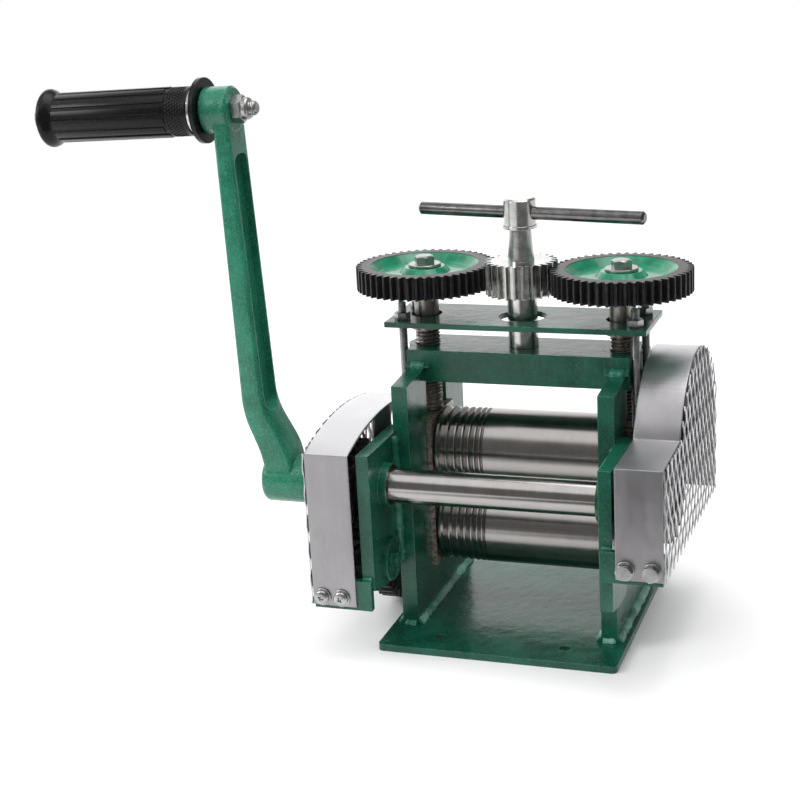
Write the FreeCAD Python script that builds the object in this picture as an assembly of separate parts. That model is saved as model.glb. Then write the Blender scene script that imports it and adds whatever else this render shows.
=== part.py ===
"""Jewellers rolling mill: flat and wire rolls, geared crank drive and screw-lift top roll.

Millimetres, +Z up. X runs along the rolls, with the crank at -X. Y = 0 is the plane of
both roll axes, with the operator at -Y. Z = 0 is the underside of the base plate.
"""
import FreeCAD, Part
import math
import os

Vector = FreeCAD.Vector

# ---- frame -------------------------------------------------------------------------
base_width = 135.0            # base plate along X
base_depth = 161.0            # base plate along Y
base_thickness = 4.0
base_corner_radius = 3.0
base_hole_x = 35.5            # bench bolt holes at +-X
base_hole_y = 63.5            # and at +-Y
base_hole_radius = 3.25

cheek_inner = 53.0            # inner face of each cheek from the middle
cheek_thickness = 9.0
cheek_depth = 102.0
cheek_shoulder_top = 145.0    # height at the front and back edges
cheek_shoulder_rise = 2.5     # the top slopes up by this to the bar
window_width = 36.0           # slot that holds the bearing blocks, closed by the bar
window_floor = 27.0

bar_length = 127.0
bar_top = 157.0
bar_height = 18.0

weld_leg = 3.0                # fillet welds of the frame

# ---- rolls -------------------------------------------------------------------------
roll_radius = 22.5
roll_length = 98.0
lower_axis_z = 49.5
rest_gap = 1.5                # gap between the rolls as drawn
groove_count = 7
groove_start = -47.0          # first wire groove, near the crank end
groove_first_width = 4.6
groove_step = 0.45            # each groove is narrower than the last by this
groove_land = 0.7
journal_radius = 11.0
gear_seat_radius = 9.0
thread_end_radius = 6.0
thread_end_length = 8.0
shoulder_gap = 0.5            # roll gear's hub from the cheek's outer face
end_float = 2.0               # endwise room of the turning pieces
roll_chamfer = 0.8
running_clearance = 0.05      # radial, every turning fit
slide_clearance = 0.10        # each side, every sliding fit

# ---- bearing blocks ----------------------------------------------------------------
block_height = 42.0
block_flange = 3.0            # stands proud of the cheek's inner face
block_flange_lap = 3.5        # flange is wider than the window by this each side
bush_wall = 3.0

# ---- crank drive -------------------------------------------------------------------
drive_module = 2.0
pinion_teeth = 23
idler_teeth = 21
roll_gear_teeth = 46
drive_backlash = 0.16         # at the pitch circle, off each gear's teeth
shaft_y = -69.0
shaft_z = 94.5
shaft_radius = 9.5
shaft_seat_radius = 8.0       # crank end of the shaft, in the hub
drive_gear_inner = 74.0       # inner face of every drive gear from the middle
roll_gear_width = 11.0
roll_gear_web_radius = 38.0
roll_gear_web_depth = 3.0
roll_gear_hub_radius = 16.0
gear_spacer_wall = 1.0
pinion_hub_wall = 4.0
pinion_hub_gap = 1.5          # pinion's hub from the bracket
pinion_width = 13.0
bracket_thickness = 7.0
bracket_back = -37.0
bracket_top = 118.5
bracket_bottom = 41.5
bracket_back_bottom = 60.0    # the lower edge rises to this behind the idler stud
bracket_boss_radius = 12.2    # round boss inside each bracket, bored for the bush
bracket_boss_length = 4.5
bush_radius = 11.0
stud_radius = 7.0
stud_disc_radius = 12.3       # painted disc that clamps the stud inside the left bracket
stud_disc_thickness = 2.5
stud_disc_rim = 0.8           # height of the disc's raised rim
stud_head_radius = 10.0
stud_head_thickness = 2.5
idler_float = 0.4             # endwise room of the idler

# ---- crank -------------------------------------------------------------------------
crank_radius = 204.5          # shaft axis to grip axis
hub_radius = 13.0
hub_round = 3.5               # rounding of the hub's outer end
hub_screw_radius = 3.0
hub_screw_sink = 0.8          # set screw's end below the hub's surface
arm_hub_step = 9.0            # arm's root from the hub's inner end
arm_hub_drop = 6.0            # arm's root below the shaft's axis
arm_round = 2.0
arm_round_from = 30.0         # only the arm's long edges are rounded
hub_inner_x = -103.0
hub_length = 28.0
arm_width = 22.0              # along Y
arm_thickness_low = 13.0
arm_thickness_high = 9.2
arm_offset_x = -132.6         # middle of the straight arm where it starts
arm_straight_z = 134.0
arm_flare = 2.1               # degrees that the arm leans outwards
boss_radius = 12.3
boss_length = 16.5
boss_centre_x = -142.2         # where the grip's axis crosses the arm
recess_width = 12.0
recess_depth = 2.2
recess_length = 109.0
recess_rise = 24.0            # channel's lower end above the straight arm's start
recess_slope = 0.9            # channel set back, since the arm thins upwards
grip_length = 89.0
grip_radius = 13.5            # over the ribs
grip_rib_count = 14
grip_rib_width = 4.0
grip_rib_height = 0.8
grip_flange_radius = 15.8
grip_flange_length = 9.0      # rounded end with its run-in to the ribs
grip_flange_round = 2.2
grip_waist = 13.0             # knurled length before the collar
grip_waist_wall = 0.5         # waist stands this far over the steel ring
grip_ring_radius = 12.6       # steel ring seen between grip and collar
grip_ring_reach = 3.5
grip_sleeve_radius = 10.5     # sleeve inside the grip
grip_collar_radius = 17.3
grip_collar_thickness = 2.5
grip_collar_gap = 0.4
grip_end_bore = 8.4           # clears the bolt's washer
grip_end_gap = 0.4            # washer to sleeve
handle_bolt_radius = 4.0
handle_washer_radius = 8.0
handle_nut_height = 5.5
handle_nut_collar = 3.5       # round locking collar beyond the hexagon
handle_nut_collar_radius = 5.9
handle_bolt_reach = 13.0      # threaded end beyond the arm's boss

# ---- screw lift --------------------------------------------------------------------
lift_module = 1.5
lift_gear_teeth = 50
lift_pinion_teeth = 25
lift_backlash = 0.14
lift_gear_rise = 16.0         # gears' underside above the lift plate
lift_gear_width = 13.0
gear_dish_depth = 4.5         # web floor below the rim
gear_dish_radius = 30.6
gear_dish_slope = 4.5
gear_boss_radius = 14.3       # foot of the boss, which tapers to its top
gear_boss_top_radius = 11.2
gear_boss_drop = 1.5          # boss top below the rim
gear_underside_depth = 3.0
gear_seat_depth = 5.0         # gear bolt's hole above the screw's seat
screw_seat_radius = 5.0
lift_pinion_drop = 2.5        # pinion's underside below the gears'
lift_pinion_width = 18.5
screw_radius = 7.0
lift_collar_radius = 10.5
lift_collar_thickness = 2.5
plate_length = 148.0
plate_depth = 47.0
plate_thickness = 3.0
plate_top = 174.0
plate_spindle_hole = 13.4
plate_screw_hole = 8.8
rod_x = 66.2
rod_y = 14.0
rod_radius = 2.5
rod_above_plate = 10.0
rod_below_carrier = 6.0
rod_nut_height = 4.0
carrier_thickness = 9.0
carrier_margin = 4.0          # carrier beyond the rods along Y
post_radius = 8.4
spindle_journal_radius = 7.0
spindle_bush_radius = 9.2
spindle_floor = 4.0           # bar left under the spindle's bush
spindle_bush_floor = 2.0
spindle_end_gap = 1.0
neck_low_radius = 7.4
neck_high_radius = 6.0
screw_nut_radius = 11.0
t_bar_rise = 42.6             # cross bar's axis above the gears' underside
t_bar_radius = 3.6
t_bar_left = -61.5
t_bar_right = 73.0
t_bar_yaw = -9.6              # degrees, the right end is nearer the operator
t_hub_radius = 9.0
t_hub_height = 16.5
t_hub_ring = 0.7              # bead at the hub's lower edge stands this far out
t_hub_ring_height = 1.6
t_hub_chamfer = 1.0
t_bar_round = 1.2

# ---- gear covers -------------------------------------------------------------------
cover_inner = 71.6
cover_outer = 98.0
cover_sheet = 1.0
cover_front = -98.0
right_cover_top = 122.0
right_cover_bottom = 62.0
right_arc_y = 6.0
right_arc_z = 95.0
right_arc_radius = 62.0
right_back_bottom = 56.0
left_cover_bottom = 33.0
left_roof_peak_y = -40.0      # the left roof is one shallow arch
left_roof_peak_z = 128.6
left_roof_radius = 195.0
left_cover_back = 64.0
left_flange_front = -54.0     # side flange bent down from the roof to the bracket's top
left_flange_back = -28.0
left_flange_bottom = 100.0
left_back_bottom = 22.0
mesh_thickness = 1.6
mesh_strand_pitch = 4.75      # strands along Y; the openings of neighbouring columns alternate
mesh_row_height = 19.2
mesh_opening_width = 5.9
mesh_opening_height = 16.0
mesh_rim = 0.8                # least plain edge of the expanded metal
mesh_shaft_gap = 4.0          # clear ring round the shaft in the left mesh
tab_height = 17.0
tab_thickness = 4.0
tab_mesh_gap = 0.4            # tab ends this far inside the mesh
right_tab_bottom = 59.5
left_tab_bottom = 31.0
tab_inset = 1.0               # tab starts this far out from the cheek's outer face
right_bolt_places = (76.5, 90.5)
right_bolt_rise = 8.0         # above the tab's lower edge
left_screw_places = (80.0, 91.0)
left_screw_rise = 7.0
cover_hole_radius = 2.7
cover_bolt_radius = 2.5
cover_bolt_reach = 5.0        # beyond the tab
cover_washer_radius = 5.0
cover_washer_thickness = 1.0
pan_head_radius = 4.2
pan_head_height = 2.4

# ---- standard parts ----------------------------------------------------------------
hex_m5 = 8.0                  # across flats
hex_m6 = 10.0
m5_head_height = 3.5
hex_m8 = 13.0
hex_m12 = 18.0
m6_head_height = 4.5
bolt_head_height = 5.3
nut_height_m12 = 5.6
end_nut_flange_radius = 11.5
washer_thickness = 1.6
gear_bolt_radius = 3.0
gear_washer_radius = 9.2

# ---- derived places ----------------------------------------------------------------
cheek_outer = cheek_inner + cheek_thickness
bracket_outer = cheek_outer + bracket_thickness
bracket_front = cover_front + cover_sheet + tab_thickness    # the cover's tabs sit on its front edge
bar_bottom = bar_top - bar_height
upper_axis_z = lower_axis_z + 2 * roll_radius + rest_gap
screw_x = lift_module * (lift_gear_teeth + lift_pinion_teeth) / 2
pinion_pitch = drive_module * pinion_teeth / 2
idler_pitch = drive_module * idler_teeth / 2
roll_gear_pitch = drive_module * roll_gear_teeth / 2
plate_bottom = plate_top - plate_thickness
rod_top = plate_top + rod_above_plate
lift_gear_bottom = plate_top + lift_gear_rise
lift_pinion_bottom = lift_gear_bottom - lift_pinion_drop
t_bar_z = lift_gear_bottom + t_bar_rise
lift_gear_top = lift_gear_bottom + lift_gear_width
gear_boss_top = lift_gear_top - gear_boss_drop
mesh_inner = cover_outer - mesh_thickness
tab_outer = mesh_inner - tab_mesh_gap
plain_end_x = cheek_outer + end_float
gear_end_x = drive_gear_inner + roll_gear_width
left_shoulder_x = -(drive_gear_inner + pinion_width + end_float)
hub_end_x = hub_inner_x - hub_length
block_inner = cheek_inner - block_flange
handle_z = shaft_z + crank_radius
X_AXIS, Y_AXIS, Z_AXIS = Vector(1, 0, 0), Vector(0, 1, 0), Vector(0, 0, 1)


def idler_centre():
    """Where the idler meets both the crank pinion and the lower roll's gear."""
    near, far = pinion_pitch + idler_pitch, idler_pitch + roll_gear_pitch
    span_y, span_z = -shaft_y, lower_axis_z - shaft_z
    span = math.hypot(span_y, span_z)
    along = (near ** 2 - far ** 2 + span ** 2) / (2 * span)
    aside = math.sqrt(near ** 2 - along ** 2)
    unit_y, unit_z = span_y / span, span_z / span
    return shaft_y + along * unit_y + aside * unit_z, shaft_z + along * unit_z - aside * unit_y


idler_y, idler_z = idler_centre()


# ---- shapes ------------------------------------------------------------------------
def box(x0, x1, y0, y1, z0, z1):
    """Box between two corners, in any order along X."""
    low, high = min(x0, x1), max(x0, x1)
    return Part.makeBox(high - low, y1 - y0, z1 - z0, Vector(low, y0, z0))


def rod_x_axis(x0, x1, y, z, radius):
    """Cylinder along X."""
    low, high = min(x0, x1), max(x0, x1)
    return Part.makeCylinder(radius, high - low, Vector(low, y, z), X_AXIS)


def rod_y_axis(y0, y1, x, z, radius):
    """Cylinder along Y."""
    return Part.makeCylinder(radius, y1 - y0, Vector(x, y0, z), Y_AXIS)


def rod_z_axis(z0, z1, x, y, radius):
    """Cylinder along Z."""
    return Part.makeCylinder(radius, z1 - z0, Vector(x, y, z0), Z_AXIS)


def turned(profile, along):
    """Solid of revolution; profile is (radius, place) pairs along 'x' or 'z', through 0, 0."""
    if along == "x":
        points = [Vector(place, radius, 0) for radius, place in profile]
        axis = X_AXIS
    else:
        points = [Vector(radius, 0, place) for radius, place in profile]
        axis = Z_AXIS
    face = Part.Face(Part.makePolygon(points + points[:1]))
    return face.revolve(Vector(0, 0, 0), axis, 360)


def moved(shape, x=0.0, y=0.0, z=0.0):
    """Shifted copy."""
    copy = shape.copy()
    copy.translate(Vector(x, y, z))
    return copy


def hexagon(flats, height, place, axis, bore=0.0):
    """Hexagonal prism, with a chamfered crown left to the finish, and an optional bore."""
    corner = flats / math.sqrt(3)
    points = []
    for index in range(6):
        turn = math.radians(60 * index + 30)
        points.append(Vector(corner * math.cos(turn), corner * math.sin(turn), 0))
    prism = Part.Face(Part.makePolygon(points + points[:1])).extrude(Vector(0, 0, height))
    if bore:
        prism = prism.cut(Part.makeCylinder(bore, height))
    turned_to = FreeCAD.Rotation(Z_AXIS, axis)
    prism.Placement = FreeCAD.Placement(place, turned_to)
    return prism


def mirrored(shape):
    """The same piece on the other side of the middle."""
    return shape.mirror(Vector(0, 0, 0), X_AXIS)


def extruded_x(points, x0, x1):
    """Prism along X from an outline of (y, z) points."""
    low, high = min(x0, x1), max(x0, x1)
    corners = [Vector(low, y, z) for y, z in points]
    return Part.Face(Part.makePolygon(corners + corners[:1])).extrude(Vector(high - low, 0, 0))


def extruded_y(points, y0, y1):
    """Prism along Y from an outline of (x, z) points."""
    corners = [Vector(x, y0, z) for x, z in points]
    return Part.Face(Part.makePolygon(corners + corners[:1])).extrude(Vector(0, y1 - y0, 0))


def fillet_weld(start, end, leg_a, leg_b):
    """Triangular weld bead from start to end, with its two legs as vectors."""
    run = end - start
    face = Part.Face(Part.makePolygon([start, start + leg_a, start + leg_b, start]))
    return face.extrude(run)


# ---- gears -------------------------------------------------------------------------
def involute(angle):
    """Involute of a pressure angle."""
    return math.tan(angle) - angle


def gear_outline(module, teeth, backlash, phase):
    """Points round a 20 degree involute gear, with a tooth centred on the phase angle."""
    pressure = math.radians(20)
    pitch = module * teeth / 2
    base = pitch * math.cos(pressure)
    tip = pitch + module
    root = pitch - 1.25 * module
    half_at_pitch = math.pi / (2 * teeth) - backlash / (2 * pitch)

    def half_angle(radius):
        reached = max(radius, base)
        return half_at_pitch + involute(pressure) - involute(math.acos(base / reached))

    stations = [root, tip]
    points = []
    for tooth in range(teeth):
        middle = phase + 2 * math.pi * tooth / teeth
        for radius in stations:
            turn = middle - half_angle(radius)
            points.append((radius * math.cos(turn), radius * math.sin(turn)))
        for radius in reversed(stations):
            turn = middle + half_angle(radius)
            points.append((radius * math.cos(turn), radius * math.sin(turn)))
    return points


def gear_along_x(module, teeth, backlash, phase, x0, x1, y, z):
    """Spur gear blank with teeth, its axis along X through (y, z)."""
    outline = gear_outline(module, teeth, backlash, phase)
    return extruded_x([(y + u, z + v) for u, v in outline], x0, x1)


def gear_along_z(module, teeth, backlash, phase, z0, z1, x):
    """Spur gear blank with teeth, its axis along Z through (x, 0)."""
    corners = [Vector(x + u, v, z0) for u, v in gear_outline(module, teeth, backlash, phase)]
    return Part.Face(Part.makePolygon(corners + corners[:1])).extrude(Vector(0, 0, z1 - z0))


def meshing_phase(phase, teeth, other_teeth, heading):
    """Phase of the gear that meets one with the given phase, in the heading direction."""
    offset = phase - heading
    return heading + math.pi + math.pi / other_teeth - offset * teeth / other_teeth


pinion_phase = 0.0
upper_gear_phase = meshing_phase(pinion_phase, pinion_teeth, roll_gear_teeth,
                                 math.atan2(upper_axis_z - shaft_z, -shaft_y))
idler_phase = meshing_phase(pinion_phase, pinion_teeth, idler_teeth,
                            math.atan2(idler_z - shaft_z, idler_y - shaft_y))
lower_gear_phase = meshing_phase(idler_phase, idler_teeth, roll_gear_teeth,
                                 math.atan2(lower_axis_z - idler_z, -idler_y))


# ---- frame -------------------------------------------------------------------------
def make_base_plate():
    """Flat base with rounded corners and four bench bolt holes."""
    plate = box(-base_width / 2, base_width / 2, -base_depth / 2, base_depth / 2, 0, base_thickness)
    corners = [edge for edge in plate.Edges
               if abs(edge.tangentAt(edge.FirstParameter).z) > 0.9]
    plate = plate.makeFillet(base_corner_radius, corners)
    for x in (-base_hole_x, base_hole_x):
        for y in (-base_hole_y, base_hole_y):
            plate = plate.cut(rod_z_axis(-1, base_thickness + 1, x, y, base_hole_radius))
    return plate


def make_cheek():
    """Right cheek: U-shaped plate with the block window, welds at its foot included."""
    edge = cheek_depth / 2
    slot = window_width / 2
    shoulder = cheek_shoulder_top + cheek_shoulder_rise
    outline = [(-edge, base_thickness), (-edge, cheek_shoulder_top), (-slot, shoulder),
               (-slot, window_floor), (slot, window_floor), (slot, shoulder),
               (edge, cheek_shoulder_top), (edge, base_thickness)]
    cheek = extruded_x(outline, cheek_inner, cheek_outer)
    for side, face_x in ((-1, cheek_inner), (1, cheek_outer)):
        foot = Vector(face_x, -edge, base_thickness)
        bead = fillet_weld(foot, foot + Vector(0, cheek_depth, 0),
                           Vector(side * weld_leg, 0, 0), Vector(0, 0, weld_leg))
        cheek = cheek.fuse(bead)
    return cheek.removeSplitter()


def make_top_bar():
    """Bar that closes both windows and carries the screw nuts and the spindle bush."""
    half = bar_length / 2
    bar = box(-half, half, -window_width / 2, window_width / 2, bar_bottom, bar_top)
    for side in (-1, 1):
        bar = bar.cut(rod_z_axis(bar_bottom - 1, bar_top + 1, side * screw_x, 0, screw_nut_radius))
        for depth in (-1, 1):
            y = depth * window_width / 2
            start = Vector(side * (cheek_inner - weld_leg), y, cheek_shoulder_top + cheek_shoulder_rise)
            end = Vector(side * half, y, start.z)
            bead = fillet_weld(start, end, Vector(0, depth * weld_leg, 0), Vector(0, 0, weld_leg))
            bar = bar.fuse(bead)
    seat = rod_z_axis(bar_bottom + spindle_floor, bar_top + 1, 0, 0, spindle_bush_radius)
    return bar.cut(seat).removeSplitter()


def make_bracket():
    """Right bracket: thick plate welded to the outside of the cheek, bored for the shaft bush."""
    outline = [(bracket_front, bracket_bottom), (bracket_front, bracket_top),
               (bracket_back, bracket_top), (bracket_back, bracket_back_bottom),
               (-cheek_depth / 2, bracket_back_bottom), (idler_y + stud_radius, bracket_bottom - 4.0),
               (idler_y - stud_radius, bracket_bottom - 4.0)]
    plate = extruded_x(outline, cheek_outer, bracket_outer)
    boss = rod_x_axis(cheek_outer - bracket_boss_length, cheek_outer, shaft_y, shaft_z, bracket_boss_radius)
    bore = rod_x_axis(0, bracket_outer + 1, shaft_y, shaft_z, bush_radius)
    return plate.fuse(boss).cut(bore).removeSplitter()


def make_shaft_bush():
    """Right bronze bush of the crank shaft, through the bracket and its boss."""
    outer = rod_x_axis(cheek_outer - bracket_boss_length, bracket_outer + 1.0, shaft_y, shaft_z, bush_radius)
    return outer.cut(rod_x_axis(0, bracket_outer + 5, shaft_y, shaft_z, shaft_radius + running_clearance))


def make_idler_stud():
    """Fixed stud of the idler with a flange behind the gear and a head in front of it."""
    stud_end = -(drive_gear_inner + pinion_width + idler_float)
    head_end = stud_end - stud_head_thickness
    stud = rod_x_axis(-cheek_outer, stud_end, idler_y, idler_z, stud_radius)
    flange = rod_x_axis(-bracket_outer, -drive_gear_inner, idler_y, idler_z, stud_head_radius)
    head = rod_x_axis(stud_end, head_end, idler_y, idler_z, stud_head_radius)
    return stud.fuse([flange, head]).removeSplitter()


def make_idler_washer_and_nut():
    """Disc and small bolt that clamp the idler stud on the bracket's inner face."""
    inner = -cheek_outer
    face = inner + stud_disc_thickness
    disc = rod_x_axis(inner, face, idler_y, idler_z, stud_disc_radius)
    rim = rod_x_axis(face - stud_disc_rim, face, idler_y, idler_z, stud_disc_radius - 2 * stud_disc_rim)
    disc = disc.cut(rim)
    head = hexagon(hex_m5, m5_head_height, Vector(face - stud_disc_rim, idler_y, idler_z), X_AXIS)
    return disc.fuse(head).removeSplitter()


def bearing_block(axis_z, bore, clearance):
    """Right bearing block: body in the window and a flange on the cheek's inner face."""
    half = window_width / 2
    low, high = axis_z - block_height / 2, axis_z + block_height / 2
    body = box(block_inner, cheek_outer, -half + clearance, half - clearance, low, high)
    lap = half + block_flange_lap
    flange = box(block_inner, cheek_inner - clearance, -lap, lap, low, high)
    block = body.fuse(flange).removeSplitter()
    return block.cut(rod_x_axis(0, cheek_outer + 20, 0, axis_z, bore))


def make_lower_block():
    """Bronze block of the lower roll, seated on the window's floor."""
    seat = lower_axis_z - block_height / 2 - window_floor
    block = bearing_block(lower_axis_z, journal_radius + running_clearance, 0.0)
    if seat > 0.01:
        half = window_width / 2
        block = block.fuse(box(cheek_inner, cheek_outer, -half, half, window_floor,
                               window_floor + seat + 1)).removeSplitter()
    return block


def make_upper_chock():
    """Right sliding block of the upper roll, with the carrier that the lift rods hold."""
    bush_outer = journal_radius + bush_wall
    chock = bearing_block(upper_axis_z, bush_outer + running_clearance, slide_clearance)
    reach = rod_y + rod_radius + carrier_margin
    top = upper_axis_z + block_height / 2
    carrier = box(cheek_outer - 1.0, cheek_outer + slide_clearance, -window_width / 2 + slide_clearance,
                  window_width / 2 - slide_clearance, top - carrier_thickness, top)
    bridge = box(cheek_outer + slide_clearance, rod_x + rod_radius + 0.3, -reach, reach,
                 top - carrier_thickness, top)
    chock = chock.fuse([carrier, bridge])
    for y in (-rod_y, rod_y):
        chock = chock.cut(rod_z_axis(top - carrier_thickness - 1, top + 1, rod_x, y, rod_radius))
    bore = rod_x_axis(0, cheek_outer + 20, 0, upper_axis_z, bush_outer + running_clearance)
    return chock.cut(bore).removeSplitter()


def make_upper_bushes():
    """Two floating bronze bushes between the upper roll's journals and its blocks."""
    outer = journal_radius + bush_wall
    bush = rod_x_axis(block_inner + 0.3, cheek_outer, 0, upper_axis_z, outer)
    bush = bush.cut(rod_x_axis(0, cheek_outer + 20, 0, upper_axis_z, journal_radius + running_clearance))
    return Part.makeCompound([bush, mirrored(bush)])


# ---- rolls -------------------------------------------------------------------------
def grooved_roll_profile():
    """(radius, x) pairs over the roll's face, with the square-wire grooves at the crank end."""
    half = roll_length / 2
    profile = [(roll_radius - roll_chamfer, -half), (roll_radius, -half + roll_chamfer)]
    x = groove_start
    for index in range(groove_count):
        width = groove_first_width - groove_step * index
        profile += [(roll_radius, x), (roll_radius - width / 2, x + width / 2), (roll_radius, x + width)]
        x += width + groove_land
    return profile + [(roll_radius, half - roll_chamfer), (roll_radius - roll_chamfer, half)]


def make_roll(axis_z, gear_side):
    """Ground roll with its journals; the gear seat and threaded end are at gear_side."""
    face = grooved_roll_profile()
    half = roll_length / 2
    hub_start = cheek_outer + shoulder_gap
    geared = [(journal_radius, half), (journal_radius, hub_start),
              (gear_seat_radius, hub_start), (gear_seat_radius, gear_end_x),
              (thread_end_radius, gear_end_x), (thread_end_radius, gear_end_x + thread_end_length)]
    plain = [(journal_radius, half), (journal_radius, plain_end_x),
             (thread_end_radius, plain_end_x), (thread_end_radius, plain_end_x + thread_end_length)]
    right, left = (geared, plain) if gear_side > 0 else (plain, geared)
    left = [(radius, -x) for radius, x in reversed(left)]
    profile = [(0, left[0][1])] + left + face + right + [(0, right[-1][1])]
    return moved(turned(profile, "x"), z=axis_z)


def make_roll_gear(axis_z, side, phase):
    """Roll gear with a recessed outer face and a hub that reaches the journal's shoulder."""
    x0, x1 = side * drive_gear_inner, side * gear_end_x
    gear = gear_along_x(drive_module, roll_gear_teeth, drive_backlash, phase, x0, x1, 0, axis_z)
    recess = rod_x_axis(x1 - side * roll_gear_web_depth, x1, 0, axis_z, roll_gear_web_radius)
    gear = gear.cut(recess.cut(rod_x_axis(x0, x1, 0, axis_z, roll_gear_hub_radius)))
    hub_start = side * (cheek_outer + shoulder_gap)
    gear = gear.fuse(rod_x_axis(hub_start, x0, 0, axis_z, journal_radius + gear_spacer_wall))
    return gear.cut(rod_x_axis(hub_start, x1, 0, axis_z, gear_seat_radius)).removeSplitter()


def make_end_nut(start_x, axis_z, side):
    """Flanged hexagon nut on the threaded end of a roll."""
    face = start_x + side * washer_thickness
    end = face + side * nut_height_m12
    flange = rod_x_axis(start_x, face, 0, axis_z, end_nut_flange_radius)
    nut = hexagon(hex_m12, nut_height_m12, Vector(min(face, end), 0, axis_z), X_AXIS)
    return flange.fuse(nut).cut(rod_x_axis(start_x, end, 0, axis_z, thread_end_radius)).removeSplitter()


# ---- crank -------------------------------------------------------------------------
def make_crank_shaft():
    """Shaft across the front of the mill, stepped down for the crank's hub."""
    profile = [(0, hub_end_x), (shaft_seat_radius, hub_end_x),
               (shaft_seat_radius, left_shoulder_x), (shaft_radius, left_shoulder_x),
               (shaft_radius, -left_shoulder_x), (0, -left_shoulder_x)]
    return moved(turned(profile, "x"), y=shaft_y, z=shaft_z)


def make_pinion(side):
    """Crank pinion, bored for the shaft, with a short hub."""
    x0, x1 = side * drive_gear_inner, side * (drive_gear_inner + pinion_width)
    gear = gear_along_x(drive_module, pinion_teeth, drive_backlash, pinion_phase, x0, x1, shaft_y, shaft_z)
    hub_start = side * (bracket_outer + pinion_hub_gap)
    hub = rod_x_axis(hub_start, x0, shaft_y, shaft_z, shaft_radius + pinion_hub_wall)
    return gear.fuse(hub).cut(rod_x_axis(hub_start, x1, shaft_y, shaft_z, shaft_radius)).removeSplitter()


def make_idler_gear():
    """Idler between the crank pinion and the lower roll's gear."""
    x0, x1 = -drive_gear_inner - idler_float, -drive_gear_inner - pinion_width
    gear = gear_along_x(drive_module, idler_teeth, drive_backlash, idler_phase, x0, x1, idler_y, idler_z)
    return gear.cut(rod_x_axis(x0, x1, idler_y, idler_z, stud_radius + running_clearance))


def grip_placement():
    """Frame at the arm's boss centre, its X axis along the grip's axis."""
    return FreeCAD.Placement(Vector(boss_centre_x, shaft_y, handle_z),
                             FreeCAD.Rotation(Y_AXIS, -arm_flare))


def make_crank_arm():
    """Cast arm: hub, dog-leg, tapering channelled arm and the boss of the grip."""
    flare = math.tan(math.radians(arm_flare))
    low, high = arm_thickness_low / 2, arm_thickness_high / 2
    top_x = arm_offset_x - (handle_z - arm_straight_z) * flare
    bend_x = hub_inner_x - arm_hub_step
    outline = [(hub_end_x + 3, shaft_z - arm_hub_drop), (hub_end_x + 2, shaft_z + hub_radius + 1),
               (arm_offset_x - low, arm_straight_z), (top_x - high, handle_z),
               (top_x + high, handle_z), (arm_offset_x + low, arm_straight_z + 3),
               (bend_x, shaft_z + hub_radius + 4), (bend_x, shaft_z - arm_hub_drop)]
    arm = extruded_y(outline, shaft_y - arm_width / 2, shaft_y + arm_width / 2)
    edges = [edge for edge in arm.Edges if abs(edge.tangentAt(edge.FirstParameter).y) < 0.2
             and edge.Length > arm_round_from]
    arm = arm.makeFillet(arm_round, edges)
    hub = turned([(0, hub_end_x), (hub_radius - hub_round, hub_end_x),
                  (hub_radius - hub_round / 4, hub_end_x + hub_round / 3),
                  (hub_radius, hub_end_x + hub_round), (hub_radius, hub_inner_x), (0, hub_inner_x)], "x")
    hub = moved(hub, y=shaft_y, z=shaft_z)
    boss = Part.makeCylinder(boss_radius, boss_length, Vector(-boss_length / 2, 0, 0), X_AXIS)
    boss.Placement = grip_placement()
    arm = arm.fuse([hub, boss])
    channel = box(0, recess_depth * 2, -recess_width / 2, recess_width / 2, 0, recess_length)
    for end in (0, recess_length):
        channel = channel.fuse(rod_x_axis(0, recess_depth * 2, 0, end, recess_width / 2))
    lean = math.degrees(math.atan(flare + (low - high) / (handle_z - arm_straight_z)))
    channel.Placement = FreeCAD.Placement(
        Vector(arm_offset_x + low - recess_depth - recess_slope, shaft_y, arm_straight_z + recess_rise),
        FreeCAD.Rotation(Y_AXIS, -lean))
    bore = Part.makeCylinder(handle_bolt_radius, boss_length + 2, Vector(-boss_length / 2 - 1, 0, 0), X_AXIS)
    bore.Placement = grip_placement()
    seat = rod_x_axis(hub_end_x - 1, hub_inner_x + 1, shaft_y, shaft_z, shaft_seat_radius)
    return arm.cut([channel, bore, seat, hub_screw_rod(hub_radius)]).removeSplitter()


def hub_screw_rod(reach):
    """Cylinder of the hub's set screw, from the shaft towards the back."""
    return rod_y_axis(shaft_y + shaft_seat_radius, shaft_y + reach, (hub_end_x + hub_inner_x) / 2, shaft_z,
                      hub_screw_radius)


def make_hub_screw():
    """Set screw in the back of the hub that keeps the crank on its shaft."""
    return hub_screw_rod(hub_radius - hub_screw_sink)


def grip_part(profile):
    """Turned part in the grip's own frame, placed on the arm."""
    shape = turned(profile, "x")
    shape.Placement = grip_placement()
    return shape


collar_face = -boss_length / 2                      # places along the grip's axis, from the boss centre
collar_outer = collar_face - grip_collar_thickness
sleeve_start = collar_outer - grip_collar_gap
grip_start = sleeve_start - grip_ring_reach
grip_end = grip_start - grip_length
washer_inner = grip_end + washer_thickness
sleeve_end = washer_inner + grip_end_gap


def make_handle_bolt():
    """Long bolt through the grip sleeve and the arm, its head and washer at the grip's end."""
    tip = -collar_face + handle_bolt_reach
    bolt = grip_part([(0, grip_end), (handle_washer_radius, grip_end), (handle_washer_radius, washer_inner),
                      (handle_bolt_radius, washer_inner), (handle_bolt_radius, tip), (0, tip)])
    head = hexagon(hex_m8, bolt_head_height, Vector(grip_end - bolt_head_height, 0, 0), X_AXIS)
    head.Placement = grip_placement().multiply(head.Placement)
    return bolt.fuse(head).removeSplitter()


def make_handle_collar():
    """Black collar between the arm's boss and the grip."""
    return grip_part([(handle_bolt_radius, collar_outer), (grip_collar_radius, collar_outer),
                      (grip_collar_radius, collar_face), (handle_bolt_radius, collar_face)])


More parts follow.
